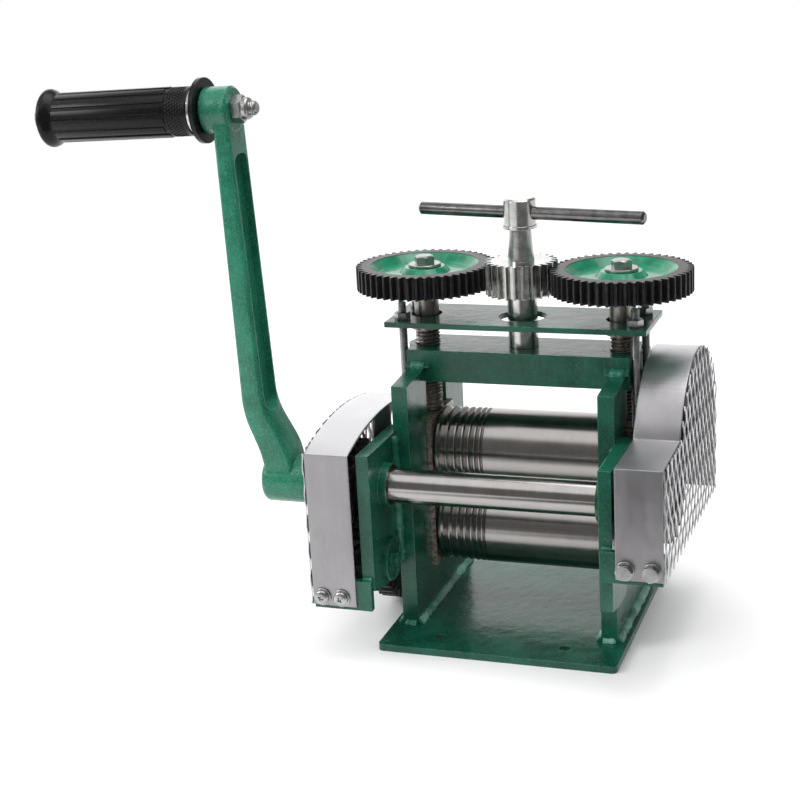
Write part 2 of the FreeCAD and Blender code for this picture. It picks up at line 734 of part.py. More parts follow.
def make_handle_nut():
    """Self-locking nut that holds the handle bolt on the arm."""
    start = -collar_face
    nut = hexagon(hex_m8, handle_nut_height, Vector(start, 0, 0), X_AXIS)
    collar = rod_x_axis(start, start + handle_nut_height + handle_nut_collar, 0, 0, handle_nut_collar_radius)
    nut = nut.fuse(collar).cut(rod_x_axis(start - 1, start + handle_bolt_reach, 0, 0, handle_bolt_radius))
    nut.Placement = grip_placement()
    return nut.removeSplitter()


def make_grip_sleeve():
    """Steel sleeve that turns on the handle bolt, with a ring beyond the grip."""
    bore = handle_bolt_radius + running_clearance
    return grip_part([(bore, sleeve_end), (grip_sleeve_radius, sleeve_end),
                      (grip_sleeve_radius, grip_start), (grip_ring_radius, grip_start),
                      (grip_ring_radius, sleeve_start), (bore, sleeve_start)])


def make_grip():
    """Ribbed plastic grip on the sleeve, with a rounded end flange and a knurled waist."""
    core = grip_radius - grip_rib_height
    waist = grip_ring_radius + grip_waist_wall
    half_round = grip_flange_round * (1 - math.sqrt(0.5))
    run_in = grip_flange_radius - core
    body = grip_part([(grip_end_bore, grip_end), (grip_flange_radius - grip_flange_round, grip_end),
                      (grip_flange_radius - half_round, grip_end + half_round),
                      (grip_flange_radius, grip_end + grip_flange_round),
                      (grip_flange_radius - run_in / 4, grip_end + grip_flange_length / 2),
                      (core + run_in / 6, grip_end + grip_flange_length * 0.72),
                      (core, grip_end + grip_flange_length), (core, grip_start - grip_waist),
                      (waist, grip_start - grip_waist), (waist, grip_start),
                      (grip_sleeve_radius, grip_start), (grip_sleeve_radius, sleeve_end),
                      (grip_end_bore, sleeve_end)])
    ribs = []
    for index in range(grip_rib_count):
        rib = box(grip_end + grip_flange_length, grip_start - grip_waist,
                  core - grip_rib_height, grip_radius, -grip_rib_width / 2, grip_rib_width / 2)
        rib.rotate(Vector(0, 0, 0), X_AXIS, 360 * index / grip_rib_count)
        rib.Placement = grip_placement().multiply(rib.Placement)
        ribs.append(rib)
    return body.fuse(ribs).removeSplitter()


# ---- screw lift --------------------------------------------------------------------
def make_lift_plate():
    """Plate that the screws carry up and down, with holes for screws, rods and spindle."""
    half_x, half_y = plate_length / 2, plate_depth / 2
    plate = box(-half_x, half_x, -half_y, half_y, plate_bottom, plate_top)
    plate = plate.cut(rod_z_axis(plate_bottom - 1, plate_top + 1, 0, 0, plate_spindle_hole))
    for side in (-1, 1):
        plate = plate.cut(rod_z_axis(plate_bottom - 1, plate_top + 1, side * screw_x, 0, plate_screw_hole))
        for y in (-rod_y, rod_y):
            plate = plate.cut(rod_z_axis(plate_bottom - 1, plate_top + 1, side * rod_x, y, rod_radius))
    return plate


def make_lift_rods():
    """Four threaded rods from the lift plate down to the sliding blocks."""
    bottom = upper_axis_z + block_height / 2 - carrier_thickness - rod_below_carrier
    rods = [rod_z_axis(bottom, rod_top, side * rod_x, y, rod_radius)
            for side in (-1, 1) for y in (-rod_y, rod_y)]
    return Part.makeCompound(rods)


def make_rod_nuts():
    """Nuts above the lift plate and under each block's carrier."""
    carrier_bottom = upper_axis_z + block_height / 2 - carrier_thickness
    nuts = []
    for side in (-1, 1):
        for y in (-rod_y, rod_y):
            for bottom in (plate_top, carrier_bottom - rod_nut_height):
                nuts.append(hexagon(hex_m5, rod_nut_height, Vector(side * rod_x, y, bottom), Z_AXIS,
                                    rod_radius))
    return Part.makeCompound(nuts)


def make_adjusting_screw():
    """Right pressure screw: its foot presses the sliding block and its top carries the gear."""
    foot = upper_axis_z + block_height / 2
    foot_chamfer = 2.0
    seat_top = gear_boss_top - gear_seat_depth
    profile = [(0, foot), (screw_radius - foot_chamfer, foot), (screw_radius, foot + foot_chamfer),
               (screw_radius, lift_gear_bottom), (screw_seat_radius, lift_gear_bottom),
               (screw_seat_radius, seat_top), (0, seat_top)]
    return moved(turned(profile, "z"), x=screw_x)


def make_lift_collars():
    """Right collar under the lift plate, which it raises, and its narrower lock ring."""
    top = plate_bottom - slide_clearance
    middle = top - lift_collar_thickness
    rings = []
    for low, high, radius in ((middle, top, lift_collar_radius),
                              (middle - lift_collar_thickness, middle, lift_collar_radius - 1.5)):
        ring = rod_z_axis(low, high, screw_x, 0, radius)
        rings.append(ring.cut(rod_z_axis(low, high, screw_x, 0, screw_radius)))
    return Part.makeCompound(rings)


def make_screw_nut():
    """Right bronze nut in the top bar, in which the pressure screw turns."""
    nut = rod_z_axis(bar_bottom, bar_top, screw_x, 0, screw_nut_radius)
    return nut.cut(rod_z_axis(bar_bottom - 1, bar_top + 5, screw_x, 0, screw_radius + running_clearance))


def make_adjusting_gear(side):
    """Adjusting gear with a dished web and a hub boss lower than its rim."""
    heading = 0.0 if side > 0 else math.pi
    phase = meshing_phase(0.0, lift_pinion_teeth, lift_gear_teeth, heading)
    gear = gear_along_z(lift_module, lift_gear_teeth, lift_backlash, phase,
                        lift_gear_bottom, lift_gear_top, side * screw_x)
    floor = lift_gear_top - gear_dish_depth
    floor_radius = gear_dish_radius - gear_dish_slope
    dish = turned([(0, gear_boss_top), (gear_boss_top_radius, gear_boss_top), (gear_boss_radius, floor),
                   (floor_radius, floor), (gear_dish_radius, lift_gear_top + 0.01),
                   (0, lift_gear_top + 0.01)], "z")
    under_top = lift_gear_bottom + gear_underside_depth
    underside = turned([(gear_boss_radius, lift_gear_bottom), (gear_dish_radius, lift_gear_bottom),
                        (gear_dish_radius, under_top), (gear_boss_radius, under_top)], "z")
    gear = gear.cut([moved(dish, x=side * screw_x), moved(underside, x=side * screw_x)])
    seat = rod_z_axis(lift_gear_bottom - 1, gear_boss_top - gear_seat_depth, side * screw_x, 0,
                      screw_seat_radius)
    hole = rod_z_axis(lift_gear_bottom, lift_gear_top, side * screw_x, 0, gear_bolt_radius)
    return gear.cut([seat, hole])


def make_gear_bolt():
    """Right hexagon bolt and washer that hold the adjusting gear on its screw."""
    head_bottom = gear_boss_top + washer_thickness
    washer = rod_z_axis(gear_boss_top, head_bottom, screw_x, 0, gear_washer_radius)
    head = hexagon(hex_m6, m6_head_height, Vector(screw_x, 0, head_bottom), Z_AXIS)
    shank = rod_z_axis(gear_boss_top - gear_seat_depth, gear_boss_top, screw_x, 0, gear_bolt_radius)
    return washer.fuse([head, shank]).removeSplitter()


def make_pinion_spindle():
    """T-handle spindle with its pinion, post, tapered neck and cross-drilled head."""
    bottom = bar_bottom + spindle_floor + spindle_bush_floor + spindle_end_gap
    shoulder = bar_top + slide_clearance
    pinion_top = lift_pinion_bottom + lift_pinion_width
    head_bottom, head_top = t_bar_z - t_hub_height / 2, t_bar_z + t_hub_height / 2
    ring = t_hub_radius + t_hub_ring
    stem = turned([(0, bottom), (spindle_journal_radius, bottom), (spindle_journal_radius, shoulder),
                   (post_radius, shoulder), (post_radius, pinion_top), (neck_low_radius, pinion_top),
                   (neck_high_radius, head_bottom), (ring, head_bottom),
                   (ring, head_bottom + t_hub_ring_height), (t_hub_radius, head_bottom + t_hub_ring_height),
                   (t_hub_radius, head_top - t_hub_chamfer), (t_hub_radius - t_hub_chamfer, head_top),
                   (0, head_top)], "z")
    gear = gear_along_z(lift_module, lift_pinion_teeth, lift_backlash, 0.0,
                        lift_pinion_bottom, pinion_top, 0)
    reach = 2 * t_hub_radius
    cross_hole = rod_x_axis(-reach, reach, 0, t_bar_z, t_bar_radius)
    cross_hole.rotate(Vector(0, 0, t_bar_z), Z_AXIS, t_bar_yaw)
    return stem.fuse(gear).cut(cross_hole).removeSplitter()


def make_spindle_bush():
    """Bronze bush of the spindle, flush in the top bar, on which the post's shoulder turns."""
    bottom = bar_bottom + spindle_floor
    bush = rod_z_axis(bottom, bar_top, 0, 0, spindle_bush_radius)
    bore = spindle_journal_radius + running_clearance
    return bush.cut(rod_z_axis(bottom + spindle_bush_floor, bar_top + 1, 0, 0, bore))


def make_t_bar():
    """Cross bar of the T-handle with rounded ends, pressed through the spindle's head."""
    bar = turned([(0, t_bar_left), (t_bar_radius - t_bar_round, t_bar_left),
                  (t_bar_radius, t_bar_left + t_bar_round), (t_bar_radius, t_bar_right - t_bar_round),
                  (t_bar_radius - t_bar_round, t_bar_right), (0, t_bar_right)], "x")
    bar.rotate(Vector(0, 0, 0), Z_AXIS, t_bar_yaw)
    return moved(bar, z=t_bar_z)


# ---- gear covers -------------------------------------------------------------------
def right_path(inset):
    """Edges in Y and Z: up the front, back to the step, over the gear and down the back."""
    front, reach = cover_front + inset, right_arc_radius - inset
    roof = right_cover_top - inset
    start_turn = math.pi - math.asin((roof - right_arc_z) / reach)
    meet_y = right_arc_y + reach * math.cos(start_turn)
    back_y = right_arc_y + reach
    middle = Vector(0, right_arc_y + reach * math.cos(start_turn / 2),
                    right_arc_z + reach * math.sin(start_turn / 2))
    arc = Part.Arc(Vector(0, meet_y, roof), middle, Vector(0, back_y, right_arc_z))
    return [Part.makeLine(Vector(0, front, right_cover_bottom), Vector(0, front, roof)),
            Part.makeLine(Vector(0, front, roof), Vector(0, meet_y, roof)), arc.toShape(),
            Part.makeLine(Vector(0, back_y, right_arc_z), Vector(0, back_y, right_back_bottom)),
            Part.makeLine(Vector(0, back_y, right_back_bottom), Vector(0, front, right_cover_bottom))]


def left_roof_height(y, inset):
    """Height of the left cover's arched roof."""
    reach = left_roof_radius - inset
    centre = left_roof_peak_z - left_roof_radius
    return centre + math.sqrt(reach ** 2 - (y - left_roof_peak_y) ** 2)


def left_path(inset):
    """Edges in Y and Z: up the front, over the arched roof and down the back."""
    front, back = cover_front + inset, left_cover_back - inset
    stations = [Vector(0, y, left_roof_height(y, inset)) for y in (front, left_roof_peak_y, back)]
    return [Part.makeLine(Vector(0, front, left_cover_bottom), stations[0]), Part.Arc(*stations).toShape(),
            Part.makeLine(stations[2], Vector(0, back, left_back_bottom)),
            Part.makeLine(Vector(0, back, left_back_bottom), Vector(0, front, left_cover_bottom))]


def region(edges):
    """Face bounded by a cover's path and its open bottom."""
    return Part.Face(Part.Wire(Part.__sortEdges__(edges)))


def make_cover(path, side):
    """Bent sheet between a path and the same path one sheet further in, open at the bottom."""
    width = mesh_inner - cover_inner
    start = cover_inner if side > 0 else -mesh_inner
    outer = moved(region(path(0.0)), x=start).extrude(Vector(width, 0, 0))
    inner = moved(region(path(cover_sheet)), x=start - 1).extrude(Vector(width + 2, 0, 0))
    sheet = outer.cut([inner, moved(inner, z=-4 * cover_sheet)])
    for x, z in cover_bolts(side):
        hole = rod_y_axis(cover_front - 1, cover_front + cover_sheet + 1, x, z, cover_hole_radius)
        sheet = sheet.cut(hole)
    return sheet


def make_left_cover():
    """Left cover with the flange that closes its side above the bracket."""
    x0, x1 = -cover_inner - cover_sheet, -cover_inner
    flange = extruded_x([(left_flange_front, left_flange_bottom),
                         (left_flange_front, left_roof_height(left_flange_front, cover_sheet / 2)),
                         (left_flange_back, left_roof_height(left_flange_back, cover_sheet / 2)),
                         (left_flange_back, left_flange_bottom)], x0, x1)
    return make_cover(left_path, -1).fuse(flange).removeSplitter()


def mesh_openings(within, start):
    """Upright diamonds of the expanded metal, in alternating columns, that lie within a plate."""
    bounds = within.BoundBox
    half_y, half_z = mesh_opening_width / 2, mesh_opening_height / 2
    middle_x = start + mesh_thickness / 2
    diamonds = []
    for column in range(int(bounds.YLength / mesh_strand_pitch) + 1):
        y = cover_front + (column + 0.5) * mesh_strand_pitch
        z = bounds.ZMin - mesh_row_height / 4 + column % 2 * mesh_row_height / 2
        while z < bounds.ZMax:
            points = [(y - half_y, z), (y, z + half_z), (y + half_y, z), (y, z - half_z)]
            if all(within.isInside(Vector(middle_x, u, v), 0.01, False) for u, v in points):
                diamonds.append(extruded_x(points, start, start + mesh_thickness))
            z += mesh_row_height
    return diamonds


def make_mesh(path, side, shaft_hole):
    """Expanded-metal side that closes a cover's outer end, with a hole round the shaft."""
    start = mesh_inner if side > 0 else -cover_outer
    plate = moved(region(path(0.0)), x=start).extrude(Vector(mesh_thickness, 0, 0))
    within = moved(region(path(mesh_rim)), x=start, z=mesh_rim).extrude(Vector(mesh_thickness, 0, 0))
    if shaft_hole:
        plate = plate.cut(rod_x_axis(start, start + mesh_thickness, shaft_y, shaft_z, shaft_hole))
        guard = shaft_hole + mesh_opening_width / 2
        within = within.cut(rod_x_axis(start, start + mesh_thickness, shaft_y, shaft_z, guard))
    return plate.cut(mesh_openings(within, start))


def make_tab(side, bottom):
    """Flat bar welded to the bracket's front edge, drilled for the cover's two fasteners."""
    y0, y1 = cover_front + cover_sheet, cover_front + cover_sheet + tab_thickness
    tab = box(side * (cheek_outer + tab_inset), side * tab_outer, y0, y1, bottom, bottom + tab_height)
    for x, z in cover_bolts(side):
        tab = tab.cut(rod_y_axis(y0 - 1, y1 + 1, x, z, cover_bolt_radius))
    return tab


def cover_bolts(side):
    """Places of the cover's two fasteners as (x, z)."""
    if side > 0:
        return [(x, right_tab_bottom + right_bolt_rise) for x in right_bolt_places]
    return [(-x, left_tab_bottom + left_screw_rise) for x in left_screw_places]


def cover_fastener(x, z, head):
    """Washer, head and shank through the cover and its tab, on one axis along Y."""
    washer = rod_y_axis(cover_front - cover_washer_thickness, cover_front, x, z, cover_washer_radius)
    end = cover_front + cover_sheet + tab_thickness + cover_bolt_reach
    shank = rod_y_axis(cover_front, end, x, z, cover_bolt_radius)
    return head.fuse([washer, shank]).removeSplitter()


def make_right_cover_bolts():
    """Two hexagon bolts with their washers through the right cover and its tab."""
    face = cover_front - cover_washer_thickness
    bolts = []
    for x, z in cover_bolts(1):
        head = hexagon(hex_m5, m5_head_height, Vector(x, face, z), -Y_AXIS)
        bolts.append(cover_fastener(x, z, head))
    return Part.makeCompound(bolts)


def make_left_cover_screws():
    """Two pan-head screws with their washers through the left cover and its tab."""
    face = cover_front - cover_washer_thickness
    screws = []
    for x, z in cover_bolts(-1):
        head = rod_y_axis(face - pan_head_height, face, x, z, pan_head_radius)
        screws.append(cover_fastener(x, z, head))
    return Part.makeCompound(screws)


# ---- the assembly ------------------------------------------------------------------
def build():
    """Every node's shape by its name."""
    cheek, bracket = make_cheek(), make_bracket()
    lower_block, chock = make_lower_block(), make_upper_chock()
    bush, screw_nut = make_shaft_bush(), make_screw_nut()
    screw, collars, gear_bolt = make_adjusting_screw(), make_lift_collars(), make_gear_bolt()
    stud_hole = rod_x_axis(-cheek_outer + 1, -bracket_outer - 1, idler_y, idler_z, stud_radius)
    return {
        "base_plate": make_base_plate(),
        "left_cheek": mirrored(cheek),
        "right_cheek": cheek,
        "top_bar": make_top_bar(),
        "left_bracket": mirrored(bracket).cut(stud_hole),
        "right_bracket": bracket,
        "left_shaft_bush": mirrored(bush),
        "right_shaft_bush": bush,
        "idler_stud": make_idler_stud(),
        "idler_stud_nut": make_idler_washer_and_nut(),
        "left_lower_block": mirrored(lower_block),
        "right_lower_block": lower_block,
        "left_screw_nut": mirrored(screw_nut),
        "right_screw_nut": screw_nut,
        "spindle_bush": make_spindle_bush(),
        "left_cover_tab": make_tab(-1, left_tab_bottom),
        "right_cover_tab": make_tab(1, right_tab_bottom),
        "left_gear_cover": make_left_cover(),
        "right_gear_cover": make_cover(right_path, 1),
        "left_cover_mesh": make_mesh(left_path, -1, shaft_radius + mesh_shaft_gap),
        "right_cover_mesh": make_mesh(right_path, 1, 0.0),
        "left_cover_screws": make_left_cover_screws(),
        "right_cover_bolts": make_right_cover_bolts(),
        "crank_shaft": make_crank_shaft(),
        "left_pinion": make_pinion(-1),
        "right_pinion": make_pinion(1),
        "crank_arm": make_crank_arm(),
        "crank_hub_screw": make_hub_screw(),
        "handle_bolt": make_handle_bolt(),
        "handle_collar": make_handle_collar(),
        "handle_nut": make_handle_nut(),
        "grip_sleeve": make_grip_sleeve(),
        "handle_grip": make_grip(),
        "idler_gear": make_idler_gear(),
        "lower_roll": make_roll(lower_axis_z, -1),
        "lower_roll_gear": make_roll_gear(lower_axis_z, -1, lower_gear_phase),
        "lower_gear_nut": make_end_nut(-gear_end_x, lower_axis_z, -1),
        "lower_end_nut": make_end_nut(plain_end_x, lower_axis_z, 1),
        "upper_roll": make_roll(upper_axis_z, 1),
        "upper_roll_gear": make_roll_gear(upper_axis_z, 1, upper_gear_phase),
        "upper_gear_nut": make_end_nut(gear_end_x, upper_axis_z, 1),
        "upper_end_nut": make_end_nut(-plain_end_x, upper_axis_z, -1),
        "upper_bushes": make_upper_bushes(),
        "left_upper_block": mirrored(chock),
        "right_upper_block": chock,
        "lift_plate": make_lift_plate(),
        "lift_rods": make_lift_rods(),
        "lift_rod_nuts": make_rod_nuts(),
        "left_adjusting_screw": mirrored(screw),
        "right_adjusting_screw": screw,
        "left_lift_collars": mirrored(collars),
        "right_lift_collars": collars,
        "left_adjusting_gear": make_adjusting_gear(-1),
        "right_adjusting_gear": make_adjusting_gear(1),
        "left_gear_bolt": mirrored(gear_bolt),
        "right_gear_bolt": gear_bolt,
        "pinion_spindle": make_pinion_spindle(),
        "t_bar": make_t_bar(),
    }


os.makedirs("parts", exist_ok=True)
for node, shape in build().items():
    solids = shape.Solids
    if not shape.isValid() or not solids:
        raise RuntimeError("bad shape: " + node)
    placed = solids[0] if len(solids) == 1 else Part.makeCompound(solids)
    placed.exportStep("parts/" + node + ".step")
    print(node, len(solids), round(sum(solid.Volume for solid in solids)))
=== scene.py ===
import math
import random
from functools import partial

import bmesh
import bpy
from mathutils import Matrix, Vector


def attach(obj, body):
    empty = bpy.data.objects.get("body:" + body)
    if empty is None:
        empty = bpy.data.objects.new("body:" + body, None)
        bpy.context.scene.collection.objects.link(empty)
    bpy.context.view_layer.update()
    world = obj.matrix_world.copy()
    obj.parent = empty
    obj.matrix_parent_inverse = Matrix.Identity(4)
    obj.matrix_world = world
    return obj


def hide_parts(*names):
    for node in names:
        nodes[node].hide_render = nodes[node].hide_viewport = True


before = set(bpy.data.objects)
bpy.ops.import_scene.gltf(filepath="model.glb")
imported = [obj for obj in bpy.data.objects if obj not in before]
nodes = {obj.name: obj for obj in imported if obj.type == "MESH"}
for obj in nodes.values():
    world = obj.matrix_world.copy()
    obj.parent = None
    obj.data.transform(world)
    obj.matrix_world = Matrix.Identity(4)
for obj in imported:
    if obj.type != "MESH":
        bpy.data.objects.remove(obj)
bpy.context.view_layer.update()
mm = 0.001
print("frame loaded with", len(nodes), "nodes")


# shader helpers
class Signal:
    # one shader socket; arithmetic on it adds Math nodes
    def __init__(self, tree, socket):
        self.tree = tree
        self.socket = socket

    def maths(self, operation, *values):
        node = self.tree.nodes.new("ShaderNodeMath")
        node.operation = operation
        for place, value in zip(node.inputs, values):
            if isinstance(value, Signal):
                self.tree.links.new(value.socket, place)
            else:
                place.default_value = value
        return Signal(self.tree, node.outputs[0])

    def __add__(self, other):
        return self.maths("ADD", self, other)

    def __radd__(self, other):
        return self.maths("ADD", other, self)

    def __sub__(self, other):
        return self.maths("SUBTRACT", self, other)

    def __rsub__(self, other):
        return self.maths("SUBTRACT", other, self)

    def __mul__(self, other):
        return self.maths("MULTIPLY", self, other)

    def __rmul__(self, other):
        return self.maths("MULTIPLY", other, self)

    def larger(self, other):
        return self.maths("MAXIMUM", self, other)


class Graph:
    # any node tree, with the recipes that the finishes and the world share
    def __init__(self, tree):
        self.tree = tree

    def node(self, kind, settings=None, sockets=None, out=0):
        node = self.tree.nodes.new(kind)
        for key, value in (settings or {}).items():
            setattr(node, key, value)
        for key, value in (sockets or {}).items():
            if isinstance(value, Signal):
                self.tree.links.new(value.socket, node.inputs[key])
            else:
                node.inputs[key].default_value = value
        return Signal(self.tree, node.outputs[out])

    def spread(self, value, low, high, start=0.0, end=1.0):
        return self.node("ShaderNodeMapRange", {"interpolation_type": "SMOOTHSTEP"}, {
            "Value": value, "From Min": low, "From Max": high, "To Min": start, "To Max": end})

    def mix(self, factor, first, second):
        return self.node("ShaderNodeMix", {"data_type": "RGBA"}, {0: factor, 6: first, 7: second}, 2)

    def axisValue(self, axis, vector):
        return self.node("ShaderNodeSeparateXYZ", {}, {0: vector}, out=axis)


class Finish(Graph):
    # one material round a Principled BSDF
    def __init__(self, name, **constants):
        self.material = bpy.data.materials.new(name)
        self.material.use_nodes = True
        super().__init__(self.material.node_tree)
        self.shader = self.tree.nodes["Principled BSDF"]
        for key, value in constants.items():
            self.shader.inputs[key.replace("_", " ")].default_value = value
        self.where = self.node("ShaderNodeTexCoord", out="Object")

    def place(self, centre=(0, 0, 0), scale=(1, 1, 1), turn=(0, 0, 0)):
        moved = self.node("ShaderNodeVectorMath", {"operation": "SUBTRACT"}, {0: self.where, 1: centre})
        return self.node("ShaderNodeMapping", {}, {"Vector": moved, "Rotation": turn, "Scale": scale})

    def noise(self, size, detail=3.0, rough=0.55, vector=None):
        return self.node("ShaderNodeTexNoise", {}, {
            "Vector": vector or self.where, "Scale": 1.0 / size, "Detail": detail, "Roughness": rough})

    def cells(self, size, out="Distance"):
        return self.node("ShaderNodeTexVoronoi", {}, {"Vector": self.where, "Scale": 1.0 / size}, out)

    def axisDistance(self, centre, keep):
        # distance from a line through centre; keep has a zero for the line's own direction
        flat = self.node("ShaderNodeVectorMath", {"operation": "MULTIPLY"},
                         {0: self.place(centre), 1: keep})
        return self.node("ShaderNodeVectorMath", {"operation": "LENGTH"}, {0: flat}, "Value")

    def relief(self, height, depth, under):
        return self.node("ShaderNodeBump", {}, {"Height": height, "Distance": depth, "Normal": under})

    def softEdge(self, radius):
        return self.node("ShaderNodeBevel", {"samples": 4}, {"Radius": radius})

    def edgeWear(self, radius, low=0.02, high=0.3):
        # one along sharp edges, from how far the rounded normal leans off the true one
        true = self.node("ShaderNodeNewGeometry", out="True Normal")
        lean = self.node("ShaderNodeVectorMath", {"operation": "DOT_PRODUCT"},
                         {0: self.softEdge(radius), 1: true}, "Value")
        return self.spread(1.0 - lean, low, high)

    def wire(self, **links):
        for key, value in links.items():
            self.tree.links.new(value.socket, self.shader.inputs[key.replace("_", " ")])
        return self.material


def rgb(red, green, blue, times=1.0):
    return tuple(min(1.0, c * times) for c in (red, green, blue)) + (1.0,)


# finishes
def paint(name, deep, pale, edgeTone, grain=0.03, specks=0.5, lumps=0.25, wear=0.6, mottle=0.1):
    f = Finish(name, IOR=1.45, Coat_Weight=0.05, Coat_Roughness=0.08)
    cloud = f.noise(18 * mm, 4)
    fine = f.noise(1.1 * mm, 2)
    dust = f.spread(f.cells(2.2 * mm), 0.11, 0.05)
    patches = f.spread(f.noise(6 * mm, 2), 0.50, 0.64)
    edge = f.edgeWear(1.0 * mm)
    ragged = edge * f.spread(f.noise(3 * mm, 4), 0.35, 0.6)
    base = f.mix(f.spread(cloud, 0.35, 0.7), rgb(*deep), rgb(*pale))
    base = f.mix(f.spread(f.noise(1.1 * mm, 5, 0.65), 0.40, 0.72) * mottle, base, rgb(*edgeTone))
    base = f.mix(ragged * wear, base, rgb(*edgeTone))
    base = f.mix(dust * patches * specks, base, rgb(0.45, 0.58, 0.52))
    runs = f.noise(7 * mm, 3, vector=f.place(scale=(1, 1, 0.35)))
    normal = f.relief(runs, lumps * mm, f.softEdge(0.8 * mm))
    normal = f.relief(fine, grain * mm, normal)
    rough = 0.16 + 0.16 * f.noise(9 * mm, 3) + dust * 0.3
    return f.wire(Base_Color=base, Roughness=rough, Normal=normal)


def turnedSteel(name, tone, rough):
    # fine lines run round the X axis; the oil film leaves darker blotches
    f = Finish(name, Metallic=1.0)
    stretch = 60.0
    lines = f.noise(0.25 * mm, 3, 0.6, vector=f.place(scale=(1, 1 / stretch, 1 / stretch)))
    smear = f.noise(11 * mm, 4, 0.6)
    shade = lines * 0.5 + smear * 0.5
    base = f.mix(f.spread(shade, 0.30, 0.66), rgb(*tone, 0.84), rgb(*tone))
    pits = f.spread(f.noise(1.4 * mm, 4, 0.7), 0.68, 0.76)
    base = f.mix(pits * 0.4, base, rgb(0.16, 0.13, 0.11))
    normal = f.relief(lines, 0.006 * mm, f.softEdge(0.3 * mm))
    gloss = rough + 0.10 * (smear - 0.5) + 0.05 * (lines - 0.5)
    return f.wire(Base_Color=base, Roughness=gloss, Normal=normal)


def plated(name, tone, rough, grain=0.03):
    f = Finish(name, Metallic=1.0)
    smear = f.noise(5 * mm, 4, 0.65)
    scratch = f.noise(0.5 * mm, 3, 0.7, vector=f.place(scale=(0.2, 1, 1), turn=(0.3, 0.5, 0.8)))
    base = f.mix(f.spread(smear, 0.3, 0.75), rgb(*tone, 0.66), rgb(*tone))
    base = f.mix(f.edgeWear(0.4 * mm) * 0.5, base, rgb(*tone, 1.2))
    normal = f.relief(scratch, grain * mm, f.softEdge(0.3 * mm))
    gloss = rough + 0.22 * (smear - 0.5) + 0.1 * (scratch - 0.5)
    return f.wire(Base_Color=base, Roughness=gloss, Normal=normal)


def blackGear(name):
    f = Finish(name, IOR=1.5)
    edge = f.edgeWear(0.6 * mm, 0.05, 0.4)
    fine = f.noise(0.8 * mm, 4, 0.6)
    chips = f.spread(f.noise(2.5 * mm, 5, 0.65), 0.48, 0.62)
    worn = edge * (0.12 + 0.6 * chips)
    base = f.mix(worn, rgb(0.012, 0.012, 0.013), rgb(0.40, 0.40, 0.41))
    normal = f.relief(fine, 0.05 * mm, f.softEdge(0.4 * mm))
    gloss = 0.40 - 0.14 * worn + 0.2 * (fine - 0.5)
    return f.wire(Base_Color=base, Metallic=worn * 0.9, Roughness=gloss, Normal=normal)


def adjustingGear(name, centreX):
    # black teeth and rim, with bright enamel in the dish
    f = Finish(name, IOR=1.38)
    ragged = f.axisDistance((centreX * mm, 0, 0), (1, 1, 0)) + 0.5 * mm * (f.noise(3 * mm, 3) - 0.5)
    green = f.spread(ragged, 30.5 * mm, 30.1 * mm)
    edge = f.edgeWear(0.6 * mm, 0.05, 0.4)
    chips = f.spread(f.noise(2.5 * mm, 5, 0.65), 0.45, 0.62)
    worn = edge * chips * (1 - green)
    fine = f.noise(1.0 * mm, 3)
    cloud = f.spread(f.noise(6 * mm, 4), 0.35, 0.7)
    enamel = f.mix(cloud, rgb(0.005, 0.17, 0.085), rgb(0.009, 0.27, 0.145))
    enamel = f.mix(edge * 0.5, enamel, rgb(0.2, 0.6, 0.45))
    base = f.mix(green, rgb(0.011, 0.011, 0.012), enamel)
    base = f.mix(worn * 0.7, base, rgb(0.45, 0.45, 0.45))
    normal = f.relief(fine, 0.05 * mm, f.softEdge(0.5 * mm))
    gloss = 0.36 - 0.12 * green - 0.1 * worn + 0.2 * (fine - 0.5)
    return f.wire(Base_Color=base, Metallic=worn * 0.8, Coat_Weight=green * 0.35, Roughness=gloss,
                  Normal=normal)


def satinSheet(name, tone):
    f = Finish(name, Metallic=1.0)
    brush = f.noise(0.35 * mm, 3, 0.6, vector=f.place(scale=(1, 1, 0.02)))
    smear = f.noise(14 * mm, 4, 0.6, vector=f.place(scale=(1, 1, 0.3)))
    base = f.mix(f.spread(smear, 0.3, 0.75), rgb(*tone, 0.8), rgb(*tone))
    # painted highlight: the roofs' pale sheen is mixed into the colour by the upward normal
    upward = f.axisValue("Z", f.node("ShaderNodeNewGeometry", out="True Normal"))
    paintedRoofSheen = f.spread(upward, 0.75, 0.97) * 0.75    # painted reflection: faces that look up are paled towards grey-white, as if the bright ceiling shone in them, on the roofs only
    base = f.mix(paintedRoofSheen, base, rgb(0.72, 0.72, 0.74))
    grime = f.spread(f.noise(4 * mm, 5, 0.7), 0.62, 0.78)
    base = f.mix(grime * 0.3, base, rgb(0.2, 0.18, 0.16))
    base = f.mix(f.edgeWear(0.8 * mm) * 0.6, base, rgb(*tone, 1.35))
    normal = f.relief(f.noise(24 * mm, 2), 0.4 * mm, f.softEdge(1.2 * mm))
    normal = f.relief(brush, 0.012 * mm, normal)
    gloss = 0.36 + 0.2 * (smear - 0.5) + 0.14 * (brush - 0.5)
    return f.wire(Base_Color=base, Roughness=gloss, Normal=normal)


def galvanised(name):
    f = Finish(name, Metallic=1.0)
    tone = f.axisValue("X", f.cells(4 * mm, out="Color"))
    smear = f.noise(3 * mm, 4, 0.6)
    shade = f.spread(tone * 0.4 + smear * 0.6, 0.25, 0.7)
    base = f.mix(shade, rgb(0.36, 0.36, 0.37), rgb(0.60, 0.60, 0.61))
    base = f.mix(f.edgeWear(0.3 * mm) * 0.6, base, rgb(0.95, 0.95, 0.96))
    normal = f.relief(f.noise(0.9 * mm, 3), 0.06 * mm, f.softEdge(0.25 * mm))
    return f.wire(Base_Color=base, Roughness=0.26 + 0.25 * smear, Normal=normal)


